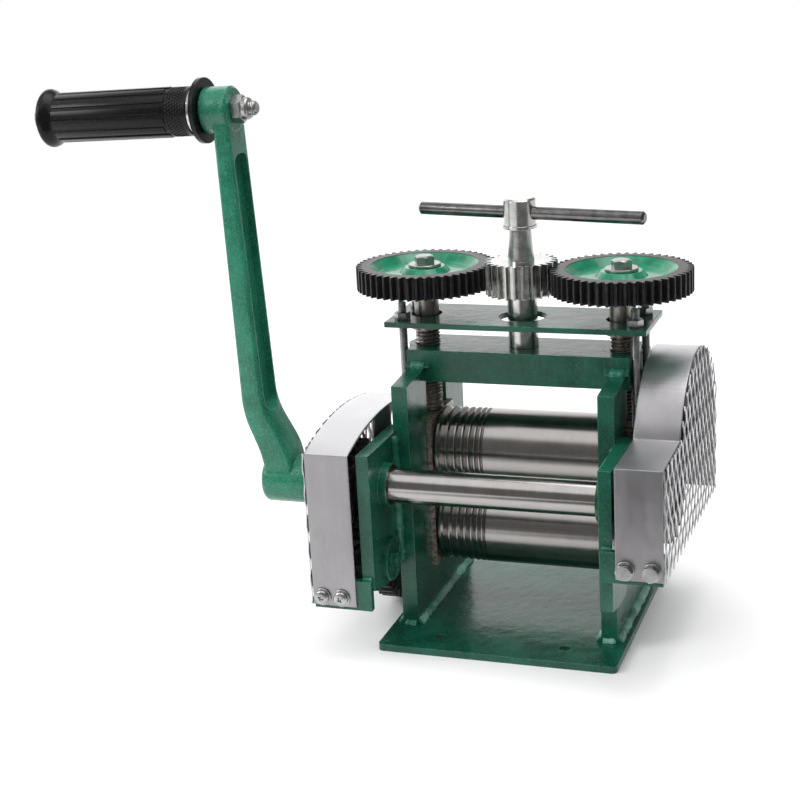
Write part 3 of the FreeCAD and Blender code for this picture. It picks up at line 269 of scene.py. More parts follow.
def rustyScrew(name):
    f = Finish(name)
    patch = f.noise(3 * mm, 5, 0.7)
    low = f.spread(f.axisValue("Z", f.where), 176 * mm, 168 * mm)    # the steel is bright above this
    rust = f.spread(patch, 0.45, 0.62) * low
    base = f.mix(rust, rgb(0.34, 0.32, 0.30), rgb(0.11, 0.06, 0.032))
    normal = f.relief(patch, 0.12 * mm, f.softEdge(0.3 * mm))
    return f.wire(Base_Color=base, Metallic=1 - 0.8 * rust, Roughness=0.32 + 0.4 * rust, Normal=normal)


def bronzeFinish(name):
    f = Finish(name, Metallic=1.0)
    patch = f.noise(3 * mm, 4, 0.6)
    base = f.mix(f.spread(patch, 0.35, 0.7), rgb(0.05, 0.03, 0.017), rgb(0.22, 0.14, 0.07))
    normal = f.relief(patch, 0.05 * mm, f.softEdge(0.3 * mm))
    return f.wire(Base_Color=base, Roughness=0.3 + 0.3 * patch, Normal=normal)


def blackPlastic(name):
    f = Finish(name, IOR=1.28)
    smear = f.noise(9 * mm, 4, 0.6, vector=f.place(scale=(0.4, 1, 1)))
    dust = f.spread(f.noise(1.3 * mm, 4, 0.7), 0.60, 0.70)
    base = f.mix(f.edgeWear(0.4 * mm) * 0.5, rgb(0.006, 0.006, 0.007), rgb(0.05, 0.05, 0.052))
    base = f.mix(dust * 0.25, base, rgb(0.12, 0.12, 0.12))
    normal = f.relief(f.noise(0.5 * mm, 2), 0.012 * mm, f.softEdge(0.3 * mm))
    return f.wire(Base_Color=base, Roughness=0.18 + 0.2 * smear + 0.2 * dust, Normal=normal)


finishes = {
    "green": paint("green enamel", (0.003, 0.058, 0.034), (0.007, 0.100, 0.060), (0.10, 0.36, 0.25)),
    "castGreen": paint("cast green enamel", (0.006, 0.120, 0.066), (0.014, 0.190, 0.110),
                       (0.10, 0.38, 0.26), grain=0.12, specks=1.0, lumps=0.5, wear=0.35, mottle=0.35),
    "weldGreen": paint("green enamel over welds", (0.008, 0.11, 0.068), (0.03, 0.22, 0.145),
                       (0.20, 0.48, 0.36), grain=0.15, lumps=0.8),
    "paleWeld": paint("pale enamel over the base welds", (0.02, 0.16, 0.11), (0.20, 0.46, 0.36),
                      (0.35, 0.62, 0.5), grain=0.15, lumps=0.8),
    "rollSteel": turnedSteel("ground roll steel", (0.35, 0.335, 0.325), 0.20),
    "shaftSteel": turnedSteel("ground shaft steel", (0.40, 0.385, 0.375), 0.17),
    "nickel": plated("bright nickel", (0.66, 0.66, 0.64), 0.20),
    "barSteel": plated("bright bar steel", (0.21, 0.205, 0.205), 0.20),
    "zinc": plated("zinc plate", (0.47, 0.48, 0.47), 0.30, 0.05),
    "blackGear": blackGear("black oxide gears"),
    "leftGear": adjustingGear("left adjusting gear paint", -56.25),
    "rightGear": adjustingGear("right adjusting gear paint", 56.25),
    "sheet": satinSheet("satin stainless sheet", (0.36, 0.35, 0.36)),
    "mesh": galvanised("galvanised expanded metal"),
    "bronze": bronzeFinish("bearing bronze"),
    "rusty": rustyScrew("oiled screw steel"),
    "plastic": blackPlastic("black plastic"),
}
print("finishes made:", len(finishes))

nodeFinish = {
    "green": ["base_plate", "left_cheek", "right_cheek", "top_bar", "left_bracket", "right_bracket",
              "idler_stud_nut", "lift_plate", "left_cover_tab", "right_cover_tab", "left_screw_nut",
              "right_screw_nut", "spindle_bush"],
    "rollSteel": ["lower_roll", "upper_roll"],
    "shaftSteel": ["crank_shaft", "idler_stud"],
    "nickel": ["pinion_spindle", "grip_sleeve"],
    "barSteel": ["t_bar"],
    "zinc": ["crank_hub_screw", "lower_gear_nut", "lower_end_nut", "upper_gear_nut", "upper_end_nut"],
    "blackGear": ["left_pinion", "right_pinion", "idler_gear", "lower_roll_gear", "upper_roll_gear"],
    "leftGear": ["left_adjusting_gear"],
    "rightGear": ["right_adjusting_gear"],
    "sheet": ["left_gear_cover", "right_gear_cover"],
    "bronze": ["left_shaft_bush", "right_shaft_bush", "upper_bushes"],
    "rusty": ["left_lower_block", "right_lower_block", "left_upper_block", "right_upper_block",
              "left_lift_collars", "right_lift_collars"],
    "plastic": ["handle_collar"],
}
for key, names in nodeFinish.items():
    for name in names:
        nodes[name].data.materials.clear()
        nodes[name].data.materials.append(finishes[key])
print("finishes laid on the nodes")


# making pieces
def finishPiece(name, shape, body, finish, replaced=(), smooth=0):
    bmesh.ops.remove_doubles(shape, verts=shape.verts, dist=1e-7)
    bmesh.ops.recalc_face_normals(shape, faces=shape.faces)
    mesh = bpy.data.meshes.new(name)
    shape.to_mesh(mesh)
    shape.free()
    if smooth:
        mesh.shade_smooth()
        mesh.set_sharp_from_angle(angle=math.radians(smooth))
    mesh.materials.append(finishes[finish])
    piece = bpy.data.objects.new(name, mesh)
    bpy.context.scene.collection.objects.link(piece)
    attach(piece, body)
    if replaced:
        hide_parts(*replaced)


def bar(shape, size, centre):
    # a closed block of the given size, placed by its centre
    made = bmesh.ops.create_cube(shape, size=1.0)["verts"]
    bmesh.ops.scale(shape, verts=made, vec=size)
    bmesh.ops.translate(shape, verts=made, vec=centre)
    return made


def bevelled(shape, geom, offset, segments, affect="EDGES"):
    # rounds edges, or corners when affect is VERTICES
    bmesh.ops.bevel(shape, geom=geom, offset=offset, affect=affect, segments=segments, profile=0.5,
                    material=-1)


def turned(profile, steps=48):
    # solid round Z from (radius, height) pairs in mm
    made = bmesh.new()
    line = [made.verts.new((radius * mm, 0, height * mm)) for radius, height in profile]
    edges = [made.edges.new(pair) for pair in zip(line, line[1:])]
    bmesh.ops.spin(made, geom=line + edges, cent=(0, 0, 0), axis=(0, 0, 1), dvec=(0, 0, 0),
                   angle=2 * math.pi, steps=steps, use_merge=True)
    bmesh.ops.remove_doubles(made, verts=made.verts, dist=1e-7)
    bmesh.ops.recalc_face_normals(made, faces=made.faces)
    return made


def join(shape, part, turn):
    # adds part to shape, laid on a matrix
    bmesh.ops.transform(part, matrix=turn, verts=part.verts)
    spare = bpy.data.meshes.new("spare")
    part.to_mesh(spare)
    part.free()
    shape.from_mesh(spare)
    bpy.data.meshes.remove(spare)


def facing(place, axis):
    # stands local Z along axis at a place in mm
    turn = Vector(axis).to_track_quat("Z", "Y").to_matrix().to_4x4()
    return Matrix.Translation(Vector(place) * mm) @ turn


def quarterRound(radius, low, soft, steps):
    # (radius, height) pairs that round a rim off, up to the full radius
    turns = [math.radians(90 / steps * step) for step in range(steps + 1)]
    return [(radius - soft * (1 - math.sin(turn)), low + soft * (1 - math.cos(turn))) for turn in turns]


def clip(shape, point, outward):
    # cuts off what lies outward of a plane and closes the cut
    everything = shape.verts[:] + shape.edges[:] + shape.faces[:]
    cut = bmesh.ops.bisect_plane(shape, geom=everything, dist=1e-7, plane_co=Vector(point) * mm,
                                 plane_no=outward, clear_outer=True)
    rim = [g for g in cut["geom_cut"] if isinstance(g, bmesh.types.BMEdge)]
    bmesh.ops.edgenet_fill(shape, edges=rim)


def hexagon(flats, height, bore=0.0, foot=0.0, crown=0.5):
    # a round blank with chamfered rims, cut to six flats
    corner = flats / math.sqrt(3)
    profile = [(bore, 0), (corner - 2 * foot, 0), (corner, foot), (corner, height - crown),
               (corner - 2 * crown, height), (bore, height)]
    if bore:
        profile.append((bore, 0))
    blank = turned(profile)
    for index in range(6):
        angle = math.radians(60 * index + 30)
        out = Vector((math.cos(angle), math.sin(angle), 0))
        clip(blank, out * flats / 2, out)
    return blank


def thread(root, crest, pitch, low, high, steps=20):
    # a V ridge wound up a plain core, from low to high
    ridge = bmesh.new()
    half = pitch * 0.46
    ring = [ridge.verts.new((radius * mm, 0, height * mm)) for radius, height in
            ((root - 0.15, low), (crest, low + half), (root - 0.15, low + 2 * half))]
    face = ridge.faces.new(ring)
    total = int((high - low - 2 * half) / pitch * steps)
    bmesh.ops.spin(ridge, geom=[face, *ring, *face.edges], cent=(0, 0, 0), axis=(0, 0, 1),
                   dvec=(0, 0, pitch * mm / steps), angle=2 * math.pi * total / steps, steps=total)
    bmesh.ops.recalc_face_normals(ridge, faces=ridge.faces)
    return ridge


def carved(shape, cutter):
    # shape less cutter
    pair = []
    for part in (shape, cutter):
        bmesh.ops.recalc_face_normals(part, faces=part.faces)
        mesh = bpy.data.meshes.new("spare")
        part.to_mesh(mesh)
        part.free()
        pair.append(bpy.data.objects.new("spare", mesh))
        bpy.context.scene.collection.objects.link(pair[-1])
    cut = pair[0].modifiers.new("cut", "BOOLEAN")
    cut.operation = "DIFFERENCE"
    cut.solver = "EXACT"
    cut.object = pair[1]
    left = bmesh.new()
    left.from_object(pair[0], bpy.context.evaluated_depsgraph_get())
    for spare in pair:
        mesh = spare.data
        bpy.data.objects.remove(spare)
        bpy.data.meshes.remove(mesh)
    return left


# expanded metal sides of the covers
meshPanel = {
    "strandPitch": 5.375, "rowHeight": 15.9, "rowFall": 0.06, "strandWidth": 2.8,
    "strandThickness": 0.65, "tilt": math.radians(5), "twist": math.radians(-3), "lean": -0.12,
    "swing": 1.25, "stepsPerRow": 12, "middleX": 97.32, "frontY": -98,
}
rightCover = {"roof": 122, "arcY": 6, "arcZ": 95, "radius": 62, "frontBottom": 62, "backY": 68,
              "backBottom": 56, "firstRow": 45.98}
leftCover = {"peakY": -40, "peakZ": 128.6, "radius": 195, "frontBottom": 33, "backY": 64,
             "backBottom": 22, "firstRow": 14.18}
shaftHole = {"y": -69, "z": 94.5, "radius": 13.5}


def rightRoof(y):
    # height of the flat roof or the arc over the gear, in mm
    c = rightCover
    return max(c["roof"], c["arcZ"] + math.sqrt(max(0, c["radius"] ** 2 - (y - c["arcY"]) ** 2)))


def leftRoof(y):
    c = leftCover
    return c["peakZ"] - c["radius"] + math.sqrt(c["radius"] ** 2 - (y - c["peakY"]) ** 2)


def lowerEdge(cover, y):
    fall = (cover["backBottom"] - cover["frontBottom"]) / (cover["backY"] - meshPanel["frontY"])
    return cover["frontBottom"] + fall * (y - meshPanel["frontY"])


def holeEdge(hole, way, y):
    # height of the hole's upper (1) or lower (-1) edge at y
    return hole["z"] + way * math.sqrt(max(0, hole["radius"] ** 2 - (y - hole["y"]) ** 2))


def clipUnder(shape, line, y, keep):
    # keeps what lies under (1) or over (-1) a line given as heights over Y
    slope = line(y + 0.5) - line(y - 0.5)
    clip(shape, (0, y, line(y)), Vector((0, -slope, 1)) * keep)


def strand(side, index, firstRow, rows):
    # one wavy strand that touches its neighbours by turns
    p = meshPanel
    shape = bmesh.new()
    sway = (p["strandPitch"] - p["strandWidth"] * math.cos(p["tilt"])) / 2
    y = p["frontY"] + index * p["strandPitch"]
    fall = p["rowFall"] * y
    ring = bmesh.ops.create_grid(shape, x_segments=1, y_segments=1, size=0.5)["verts"]
    bmesh.ops.scale(shape, verts=ring, vec=(p["strandThickness"] * mm, p["strandWidth"] * mm, 1))
    rings = [ring]
    for step in range(rows * p["stepsPerRow"]):
        face = [face for face in rings[-1][0].link_faces if set(face.verts) == set(rings[-1])][0]
        grown = bmesh.ops.extrude_face_region(shape, geom=[face])["geom"]
        if step:
            bmesh.ops.delete(shape, geom=[face], context="FACES_ONLY")
        rings.append([g for g in grown if isinstance(g, bmesh.types.BMVert)])
        bmesh.ops.translate(shape, verts=rings[-1], vec=(0, 0, p["rowHeight"] / p["stepsPerRow"] * mm))
    for step, ring in enumerate(rings):
        swell = math.sin(2 * math.pi * step / p["stepsPerRow"])
        wave = max(-1, min(1, swell * (1 if index % 2 else -1) * p["swing"]))
        turn = Matrix.Rotation(side * (p["tilt"] + p["twist"] * swell), 3, "Z")
        bmesh.ops.rotate(shape, verts=ring, matrix=turn)
        spot = Vector((side * (p["middleX"] - wave * p["lean"]), y + wave * sway, firstRow - fall))
        bmesh.ops.translate(shape, verts=ring, vec=spot * mm)
    return shape


def expandedMetal(name, side, cover, roof, node, hole=None):
    p = meshPanel
    panel = bmesh.new()
    lower = partial(lowerEdge, cover)
    highest = max(roof(y) for y in range(p["frontY"], cover["backY"]))
    rows = 2 + int((highest - cover["firstRow"]) / p["rowHeight"])
    for index in range(1 + int((cover["backY"] - p["frontY"]) / p["strandPitch"])):
        y = p["frontY"] + index * p["strandPitch"]
        spans = [(lower, roof)]
        if hole and abs(y - hole["y"]) < hole["radius"]:
            spans = [(lower, partial(holeEdge, hole, -1)), (partial(holeEdge, hole, 1), roof)]
        for low, high in spans:
            shape = strand(side, index, cover["firstRow"], rows)
            clipUnder(shape, high, y, 1)
            clipUnder(shape, low, y, -1)
            clip(shape, (0, p["frontY"], 0), (0, -1, 0))
            clip(shape, (0, cover["backY"], 0), (0, 1, 0))
            join(panel, shape, Matrix())
    finishPiece(name, panel, "frame", "mesh", [node])


expandedMetal("right_expanded_metal", 1, rightCover, rightRoof, "right_cover_mesh")
expandedMetal("left_expanded_metal", -1, leftCover, leftRoof, "left_cover_mesh", shaftHole)
print("expanded metal made")


# welds
weld = {
    "pitch": 1.4, "sides": 12, "lumps": 0.2, "barLumps": 0.35, "lastSwell": 0.55, "wobble": 0.05,
    "plateTop": 4,
    "footX": (53, 62), "footY": 50, "footZ": 4.2, "footRadius": 3.1,    # along the cheeks' feet
    "heelX": (54, 61), "heelY": 51, "heelRadius": 2.4,    # round their ends
    "barX": (53, 61.5), "barY": 18.2, "barZ": 147.3, "barRadius": 3.2,    # beside the bar
    "brackets": (((61.9, -51.2), (43, 117), 3.0), ((62.2, -37.1), (63, 116), 2.4)),
    "tabs": ((-1, 32, 47), (1, 60.5, 75.5)), "tabX": 69.3, "tabY": -93.0, "tabRadius": 1.5,
    "tabTopX": (63.5, 69), "tabTopRise": 0.7, "tabTopRadius": 1.7,
}
draws = random.Random(11)


def bead(shape, start, end, radius, lumps=weld["lumps"]):
    # a lumpy bead from start to end in mm, closed at both ends
    start, end = Vector(start) * mm, Vector(end) * mm
    run = end - start
    steps = max(5, int(run.length / (weld["pitch"] * mm)))
    wobble = weld["wobble"]
    swell = 1.0
    ring = bmesh.ops.create_circle(shape, cap_ends=True, segments=weld["sides"],
                                   radius=radius * mm)["verts"]
    bmesh.ops.rotate(shape, verts=ring, matrix=run.to_track_quat("Z", "Y").to_matrix())
    bmesh.ops.translate(shape, verts=ring, vec=start)
    face = ring[0].link_faces[0]
    for step in range(steps):
        grown = bmesh.ops.extrude_face_region(shape, geom=[face])["geom"]
        if step:
            bmesh.ops.delete(shape, geom=[face], context="FACES_ONLY")
        verts = [g for g in grown if isinstance(g, bmesh.types.BMVert)]
        face = [g for g in grown if isinstance(g, bmesh.types.BMFace)][0]
        bmesh.ops.translate(shape, verts=verts, vec=run / steps)
        middle = sum((v.co for v in verts), Vector()) / len(verts)
        if step == steps - 1:
            swell = weld["lastSwell"]
        else:
            swell = 0.5 * swell + 0.5 * draws.uniform(1 - 1.6 * lumps, 1 + 1.6 * lumps)
        for v in verts:
            out = (v.co - middle).normalized()
            v.co = middle + out * radius * mm * swell * draws.uniform(1 - wobble, 1 + wobble)


def makeWelds():
    w = weld
    feet, joints = bmesh.new(), bmesh.new()
    for side in (-1, 1):
        for x in w["footX"]:
            bead(feet, *[(side * x, y, w["footZ"]) for y in (-w["footY"], w["footY"])], w["footRadius"])
        for end in (-1, 1):
            bead(feet, *[(side * x, end * w["heelY"], w["footZ"]) for x in w["heelX"]], w["heelRadius"])
            bead(joints, *[(side * x, end * w["barY"], w["barZ"]) for x in w["barX"]], w["barRadius"],
                 w["barLumps"])
        for (x, y), heights, radius in w["brackets"]:
            bead(joints, *[(side * x, y, z) for z in heights], radius)
    for side, *heights in w["tabs"]:
        top = heights[1] + w["tabTopRise"]
        bead(joints, *[(side * w["tabX"], w["tabY"], z) for z in heights], w["tabRadius"])
        bead(joints, *[(side * x, w["tabY"], top) for x in w["tabTopX"]], w["tabTopRadius"])
    for v in feet.verts:
        v.co.z = max(v.co.z, w["plateTop"] * mm)
    finishPiece("cheek_base_welds", feet, "frame", "paleWeld", smooth=60)
    finishPiece("bracket_and_bar_welds", joints, "frame", "weldGreen", smooth=60)


makeWelds()
print("welds made")

# handle
grip = {
    "centre": (-142.2, -69, 299), "lean": -2.1, "start": -14.65, "length": 89,
    "radius": 13.5, "core": 12.7, "bore": 8.4, "inner": 10.5, "endWall": 2,
    "flange": 15.8, "flangeLength": 9, "round": 2.2,
    "waist": 13, "waistRadius": 13.1, "neckDepth": 0.5, "neckRun": 0.4, "lip": 2.4, "lipRun": 0.2,
    "lipHeight": 0.1,
    "ribs": 14, "ribWidth": 4.2, "ribRoot": 0.6, "ribSunk": 0.12, "ribStep": 1.2, "ribStart": 0.5,
    "ribSoft": 0.45,
    "dotRows": 6, "dotsRound": 40, "dotRadius": 0.62, "dotSunk": 0.45, "dotPitch": 1.6,
}
handleBolt = {
    "bossHalf": 8.25, "radius": 4, "threadDepth": 0.4, "threadPitch": 1.25, "reach": 13, "tip": 0.9,
    "washerRadius": 8, "washer": 1.6, "washerSoft": 0.3, "flats": 13, "head": 5.3, "headFoot": 0.7,
    "headCrown": 0.05, "nutBore": 3.7, "nutHeight": 5.5, "nutFoot": 0.5, "nutCollar": 3.5,
    "nutCollarRadius": 5.9, "nutOverlap": 0.3, "nutCrown": 1.2,
}
gripFrame = (Matrix.Translation(Vector(grip["centre"]) * mm)
             @ Matrix.Rotation(math.radians(grip["lean"]), 4, "Y")
             @ Matrix.Rotation(math.radians(90), 4, "Y"))
crankArm = {
    "outline": ((-128, 88.5), (-129, 108.5), (-139.1, 134), (-143.25, 299), (-134.05, 299),
                (-126.1, 137), (-112, 111.5), (-112, 88.5)),    # x and z, up the outside and back
    "bends": (1, 2, 5, 6), "bend": 8, "y": -69, "width": 22, "edge": 2.2,
    "channelLow": 135.5, "channelHigh": 276.3, "channelWidth": 16.4, "channelDepth": 4.6,
    "channelCorner": 6, "shaftZ": 94.5, "hub": 13, "hubRound": 3.5, "hubEdge": 1, "hubLow": -131,
    "hubHigh": -103, "bore": 8, "screw": 3, "boss": 12.3, "bossRound": 1.2,
}


def armChannel():
    # long shallow recess in the face towards the mill, with round corners
    p = crankArm
    (lowX, lowZ), (highX, highZ) = p["outline"][5], p["outline"][4]
    slope = (highX - lowX) / (highZ - lowZ)
    middle, reach = (p["channelLow"] + p["channelHigh"]) / 2, p["channelHigh"] - p["channelLow"]
    thick = 4 * p["channelDepth"]
    shape = bmesh.new()
    bar(shape, (thick * mm, p["channelWidth"] * mm, reach * mm), (0, 0, 0))
    corners = [edge for edge in shape.edges
               if abs((edge.verts[0].co - edge.verts[1].co).x) > thick / 2 * mm]
    bevelled(shape, corners, p["channelCorner"] * mm, 6)
    bmesh.ops.rotate(shape, verts=shape.verts, matrix=Matrix.Rotation(math.atan(slope), 3, "Y"))
    spot = Vector((lowX + slope * (middle - lowZ) + thick / 2 - p["channelDepth"], p["y"], middle))
    bmesh.ops.translate(shape, verts=shape.verts, vec=spot * mm)
    return shape


def makeCrankArm():
    p = crankArm
    blade = bmesh.new()
    corners = [blade.verts.new(Vector((x, p["y"] - p["width"] / 2, z)) * mm) for x, z in p["outline"]]
    blade.faces.new(corners)
    bevelled(blade, [corners[index] for index in p["bends"]], p["bend"] * mm, 5, "VERTICES")
    grown = bmesh.ops.extrude_face_region(blade, geom=blade.faces[:])["geom"]
    bmesh.ops.translate(blade, verts=[g for g in grown if isinstance(g, bmesh.types.BMVert)],
                        vec=(0, p["width"] * mm, 0))
    bmesh.ops.recalc_face_normals(blade, faces=blade.faces)
    rims = [edge for edge in blade.edges if abs((edge.verts[0].co - edge.verts[1].co).y) < 1e-6]
    bevelled(blade, rims, p["edge"] * mm, 3)
    shape = carved(blade, armChannel())
    bore, length, edge = p["bore"], p["hubHigh"] - p["hubLow"], p["hubEdge"]
    hub = turned([(bore, 0), *quarterRound(p["hub"], 0, p["hubRound"], 5), (p["hub"], length - edge),
                  (p["hub"] - edge, length), (bore, length), (bore, 0)])
    turn = facing((p["hubLow"], p["y"], p["shaftZ"]), (1, 0, 0))
    bmesh.ops.transform(hub, matrix=turn, verts=hub.verts)
    drill = turned([(0, 0), (p["screw"], 0), (p["screw"], 2 * p["hub"]), (0, 2 * p["hub"])], 24)
    turn = facing(((p["hubLow"] + p["hubHigh"]) / 2, p["y"], p["shaftZ"]), (0, 1, 0))
    bmesh.ops.transform(drill, matrix=turn, verts=drill.verts)
    join(shape, carved(hub, drill), Matrix())
    half, bore, rim, soft = handleBolt["bossHalf"], handleBolt["radius"], p["boss"], p["bossRound"]
    boss = turned([(bore, -half), (rim - soft, -half), (rim, soft - half), (rim, half - soft),
                   (rim - soft, half), (bore, half), (bore, -half)])
    join(shape, boss, gripFrame)
    finishPiece("cast_crank_arm", shape, "crank", "castGreen", ["crank_arm"], smooth=32)


def makeGrip():
    g = grip
    start, end = g["start"], g["start"] - g["length"]
    ribLow, ribHigh = end + g["flangeLength"] - g["ribStart"], start - g["waist"]
    neck, lip = g["waistRadius"] - g["neckDepth"], g["waistRadius"] + g["lipHeight"]
    fall, run = g["flange"] - g["core"], g["flangeLength"] - g["round"]
    turns = [math.radians(20 * step) for step in range(1, 10)]
    flank = [(g["flange"] - fall * (1 - math.cos(turn)) / 2, end + g["round"] + turn / math.pi * run)
             for turn in turns]
    shape = turned([(g["bore"], end), *quarterRound(g["flange"], end, g["round"], 6), *flank,
                    (g["core"], ribHigh), (neck, ribHigh + g["neckRun"]),
                    (neck, start - g["lip"] - g["lipRun"]), (lip, start - g["lip"]), (lip, start),
                    (g["inner"], start), (g["inner"], end + g["endWall"]),
                    (g["bore"], end + g["endWall"]), (g["bore"], end)], 64)
    depth = g["radius"] - g["core"] + g["ribRoot"]
    out = g["radius"] - depth / 2 - g["ribSunk"]
    for index in range(g["ribs"]):
        high = ribHigh - (0 if index % 2 else g["ribStep"])
        made = bmesh.new()
        bar(made, Vector((depth, g["ribWidth"], high - ribLow)) * mm,
            Vector((out, 0, (high + ribLow) / 2)) * mm)
        bevelled(made, made.edges[:], g["ribSoft"] * mm, 2)
        join(shape, made, Matrix.Rotation(2 * math.pi * index / g["ribs"], 4, "Z"))
    for row in range(g["dotRows"]):
        spot = Vector((g["waistRadius"] - g["dotSunk"], 0, ribHigh + g["dotPitch"] * (row + 1)))
        for index in range(g["dotsRound"]):
            dot = bmesh.new()
            bmesh.ops.create_icosphere(dot, subdivisions=1, radius=g["dotRadius"] * mm)
            turn = Matrix.Rotation(2 * math.pi * (index + row % 2 / 2) / g["dotsRound"], 4, "Z")
            join(shape, dot, turn @ Matrix.Translation(spot * mm))
    bmesh.ops.transform(shape, matrix=gripFrame, verts=shape.verts)
    finishPiece("ribbed_grip", shape, "grip", "plastic", ["handle_grip"], smooth=35)


def makeHandleBolt():
    p = handleBolt
    end, tip = grip["start"] - grip["length"], p["bossHalf"] + p["reach"]
    rim, soft, root = p["washerRadius"], p["washerSoft"], p["radius"] - p["threadDepth"]
    shape = turned([(0, end), (rim - soft, end), (rim, end + soft), (rim, end + p["washer"]),
                    (root, end + p["washer"]), (root, tip - p["tip"]), (root - 1, tip), (0, tip)])
    join(shape, hexagon(p["flats"], p["head"], foot=p["headFoot"], crown=p["headCrown"]),
         Matrix.Translation((0, 0, (end - p["head"]) * mm)))
    join(shape, thread(root, p["radius"], p["threadPitch"], p["bossHalf"], tip - 0.6), Matrix())
    bmesh.ops.transform(shape, matrix=gripFrame, verts=shape.verts)
    finishPiece("threaded_handle_bolt", shape, "crank", "zinc", ["handle_bolt"],
                smooth=35)
    nut = bmesh.new()
    bore, rim, crown = p["nutBore"], p["nutCollarRadius"], p["nutCrown"]
    high = p["bossHalf"] + p["nutHeight"] + p["nutCollar"]
    low = high - p["nutCollar"] - p["nutOverlap"]
    join(nut, hexagon(p["flats"], p["nutHeight"], bore=bore, foot=p["nutFoot"]),
         Matrix.Translation((0, 0, p["bossHalf"] * mm)))
    join(nut, turned([(bore, low), (rim, low), (rim, high - crown), (rim - crown / 3, high - crown / 3),
                      (rim - crown, high), (bore, high), (bore, low)]), Matrix())
    bmesh.ops.transform(nut, matrix=gripFrame, verts=nut.verts)
    finishPiece("chamfered_handle_nut", nut, "crank", "zinc", ["handle_nut"], smooth=20)


makeCrankArm()
makeGrip()
makeHandleBolt()
print("handle made")

# screw lift
lift = {
    "screwX": 56.25, "screwRadius": 7, "screwPitch": 2, "screwDepth": 0.9, "foot": 117,
    "threadTop": 166, "gearSeat": 190, "seatRadius": 5, "seatTop": 196.5,
    "boltBottom": 201.5, "boltRadius": 3, "boltReach": 5, "boltFlats": 10, "boltHead": 4.5,
    "boltCrown": 0.8, "washerRadius": 9.2, "washer": 1.6, "washerSoft": 0.3,
    "rodX": 66.2, "rodY": 14, "rodRadius": 2.5, "rodPitch": 0.8, "rodDepth": 0.38, "rodLow": 102,
    "rodHigh": 184, "nutPlaces": (174, 104), "nutHeight": 4, "nutFlats": 8, "nutSoft": 0.35,
    "nutTurn": 0.4,
}


def makePressureScrew(name, side, body, node):
    p = lift
    crest, low, high = p["screwRadius"], p["foot"], p["threadTop"]
    root, seat, top = crest - p["screwDepth"], p["gearSeat"], p["seatTop"]
    shape = turned([(0, low), (root - 1, low), (root, low + 1), (root, high),
                    (crest, high + p["screwDepth"]), (crest, seat), (p["seatRadius"], seat),
                    (p["seatRadius"], top), (0, top)])
    join(shape, thread(root, crest, p["screwPitch"], low + 0.5, high + 1, 32), Matrix())
    bmesh.ops.translate(shape, verts=shape.verts, vec=(side * p["screwX"] * mm, 0, 0))
    finishPiece(name, shape, body, "rusty", [node], smooth=35)


def makeGearBolt(name, side, body, node):
    p = lift
    low, seat, shank = p["boltBottom"], p["boltBottom"] + p["washer"], p["boltRadius"]
    foot, rim, soft = low - p["boltReach"], p["washerRadius"], p["washerSoft"]
    shape = turned([(0, foot), (shank, foot), (shank, low), (rim - soft, low), (rim, low + soft),
                    (rim, seat - soft), (rim - soft, seat), (0, seat)])
    head = hexagon(p["boltFlats"], p["boltHead"], crown=p["boltCrown"])
    join(shape, head, Matrix.Translation((0, 0, seat * mm)))
    bmesh.ops.translate(shape, verts=shape.verts, vec=(side * p["screwX"] * mm, 0, 0))
    finishPiece(name, shape, body, "zinc", [node], smooth=20)


def makeLiftRods():
    p = lift
    rods, nuts = bmesh.new(), bmesh.new()
    root, low, high, soft = p["rodRadius"] - p["rodDepth"], p["rodLow"], p["rodHigh"], p["nutSoft"]
    for side in (-1, 1):
        for depth in (-1, 1):
            spot = Matrix.Translation((side * p["rodX"] * mm, depth * p["rodY"] * mm, 0))
            core = turned([(0, low), (root, low), (root, high - 0.4), (root - 0.5, high), (0, high)],
                          steps=24)
            join(rods, core, spot)
            join(rods, thread(root, p["rodRadius"], p["rodPitch"], low, high - 0.2, 16), spot)
            turn = Matrix.Rotation(p["nutTurn"] * (side + depth), 4, "Z")
            for height in p["nutPlaces"]:
                nut = hexagon(p["nutFlats"], p["nutHeight"], bore=root, foot=soft, crown=soft)
                join(nuts, nut, spot @ Matrix.Translation((0, 0, height * mm)) @ turn)
    finishPiece("threaded_lift_rods", rods, "lift", "zinc", ["lift_rods"], smooth=35)
    finishPiece("chamfered_rod_nuts", nuts, "lift", "zinc", ["lift_rod_nuts"], smooth=20)


for side, label in ((-1, "left"), (1, "right")):
    makePressureScrew(label + "_threaded_screw", side, label + "_screw", label + "_adjusting_screw")
    makeGearBolt(label + "_chamfered_gear_bolt", side, label + "_screw", label + "_gear_bolt")
makeLiftRods()
print("screw lift made")

# cover fasteners
fastener = {
    "faceY": -98, "reach": 10, "radius": 2.5,
    "washerRadius": 5, "washer": 1, "under": 0.15, "over": 0.2,    # the washer's lower and upper edge
    "boltPlaces": ((76.5, 67.5), (90.5, 67.5)), "boltTurn": 0.35, "flats": 8, "hexHeight": 3.5,
    "hexCrown": 0.45, "screwPlaces": ((-80, 38), (-91, 38)), "screwTurn": 0.6,
    "headRadius": 4.2, "headHeight": 2.4, "headRim": 0.7, "domeSteps": 8, "domePower": 0.6,
    "slot": (4.6, 0.95, 2.4), "slotTaper": 0.45, "slotTurns": (30, 120),
}


def shankAndWasher():
    p = fastener
    low, shank, rim, high = -p["reach"], p["radius"], p["washerRadius"], p["washer"]
    return turned([(0, low), (shank, low), (shank, 0), (rim - p["under"], 0), (rim, p["under"]),
                   (rim, high - p["over"]), (rim - p["over"], high), (0, high)])


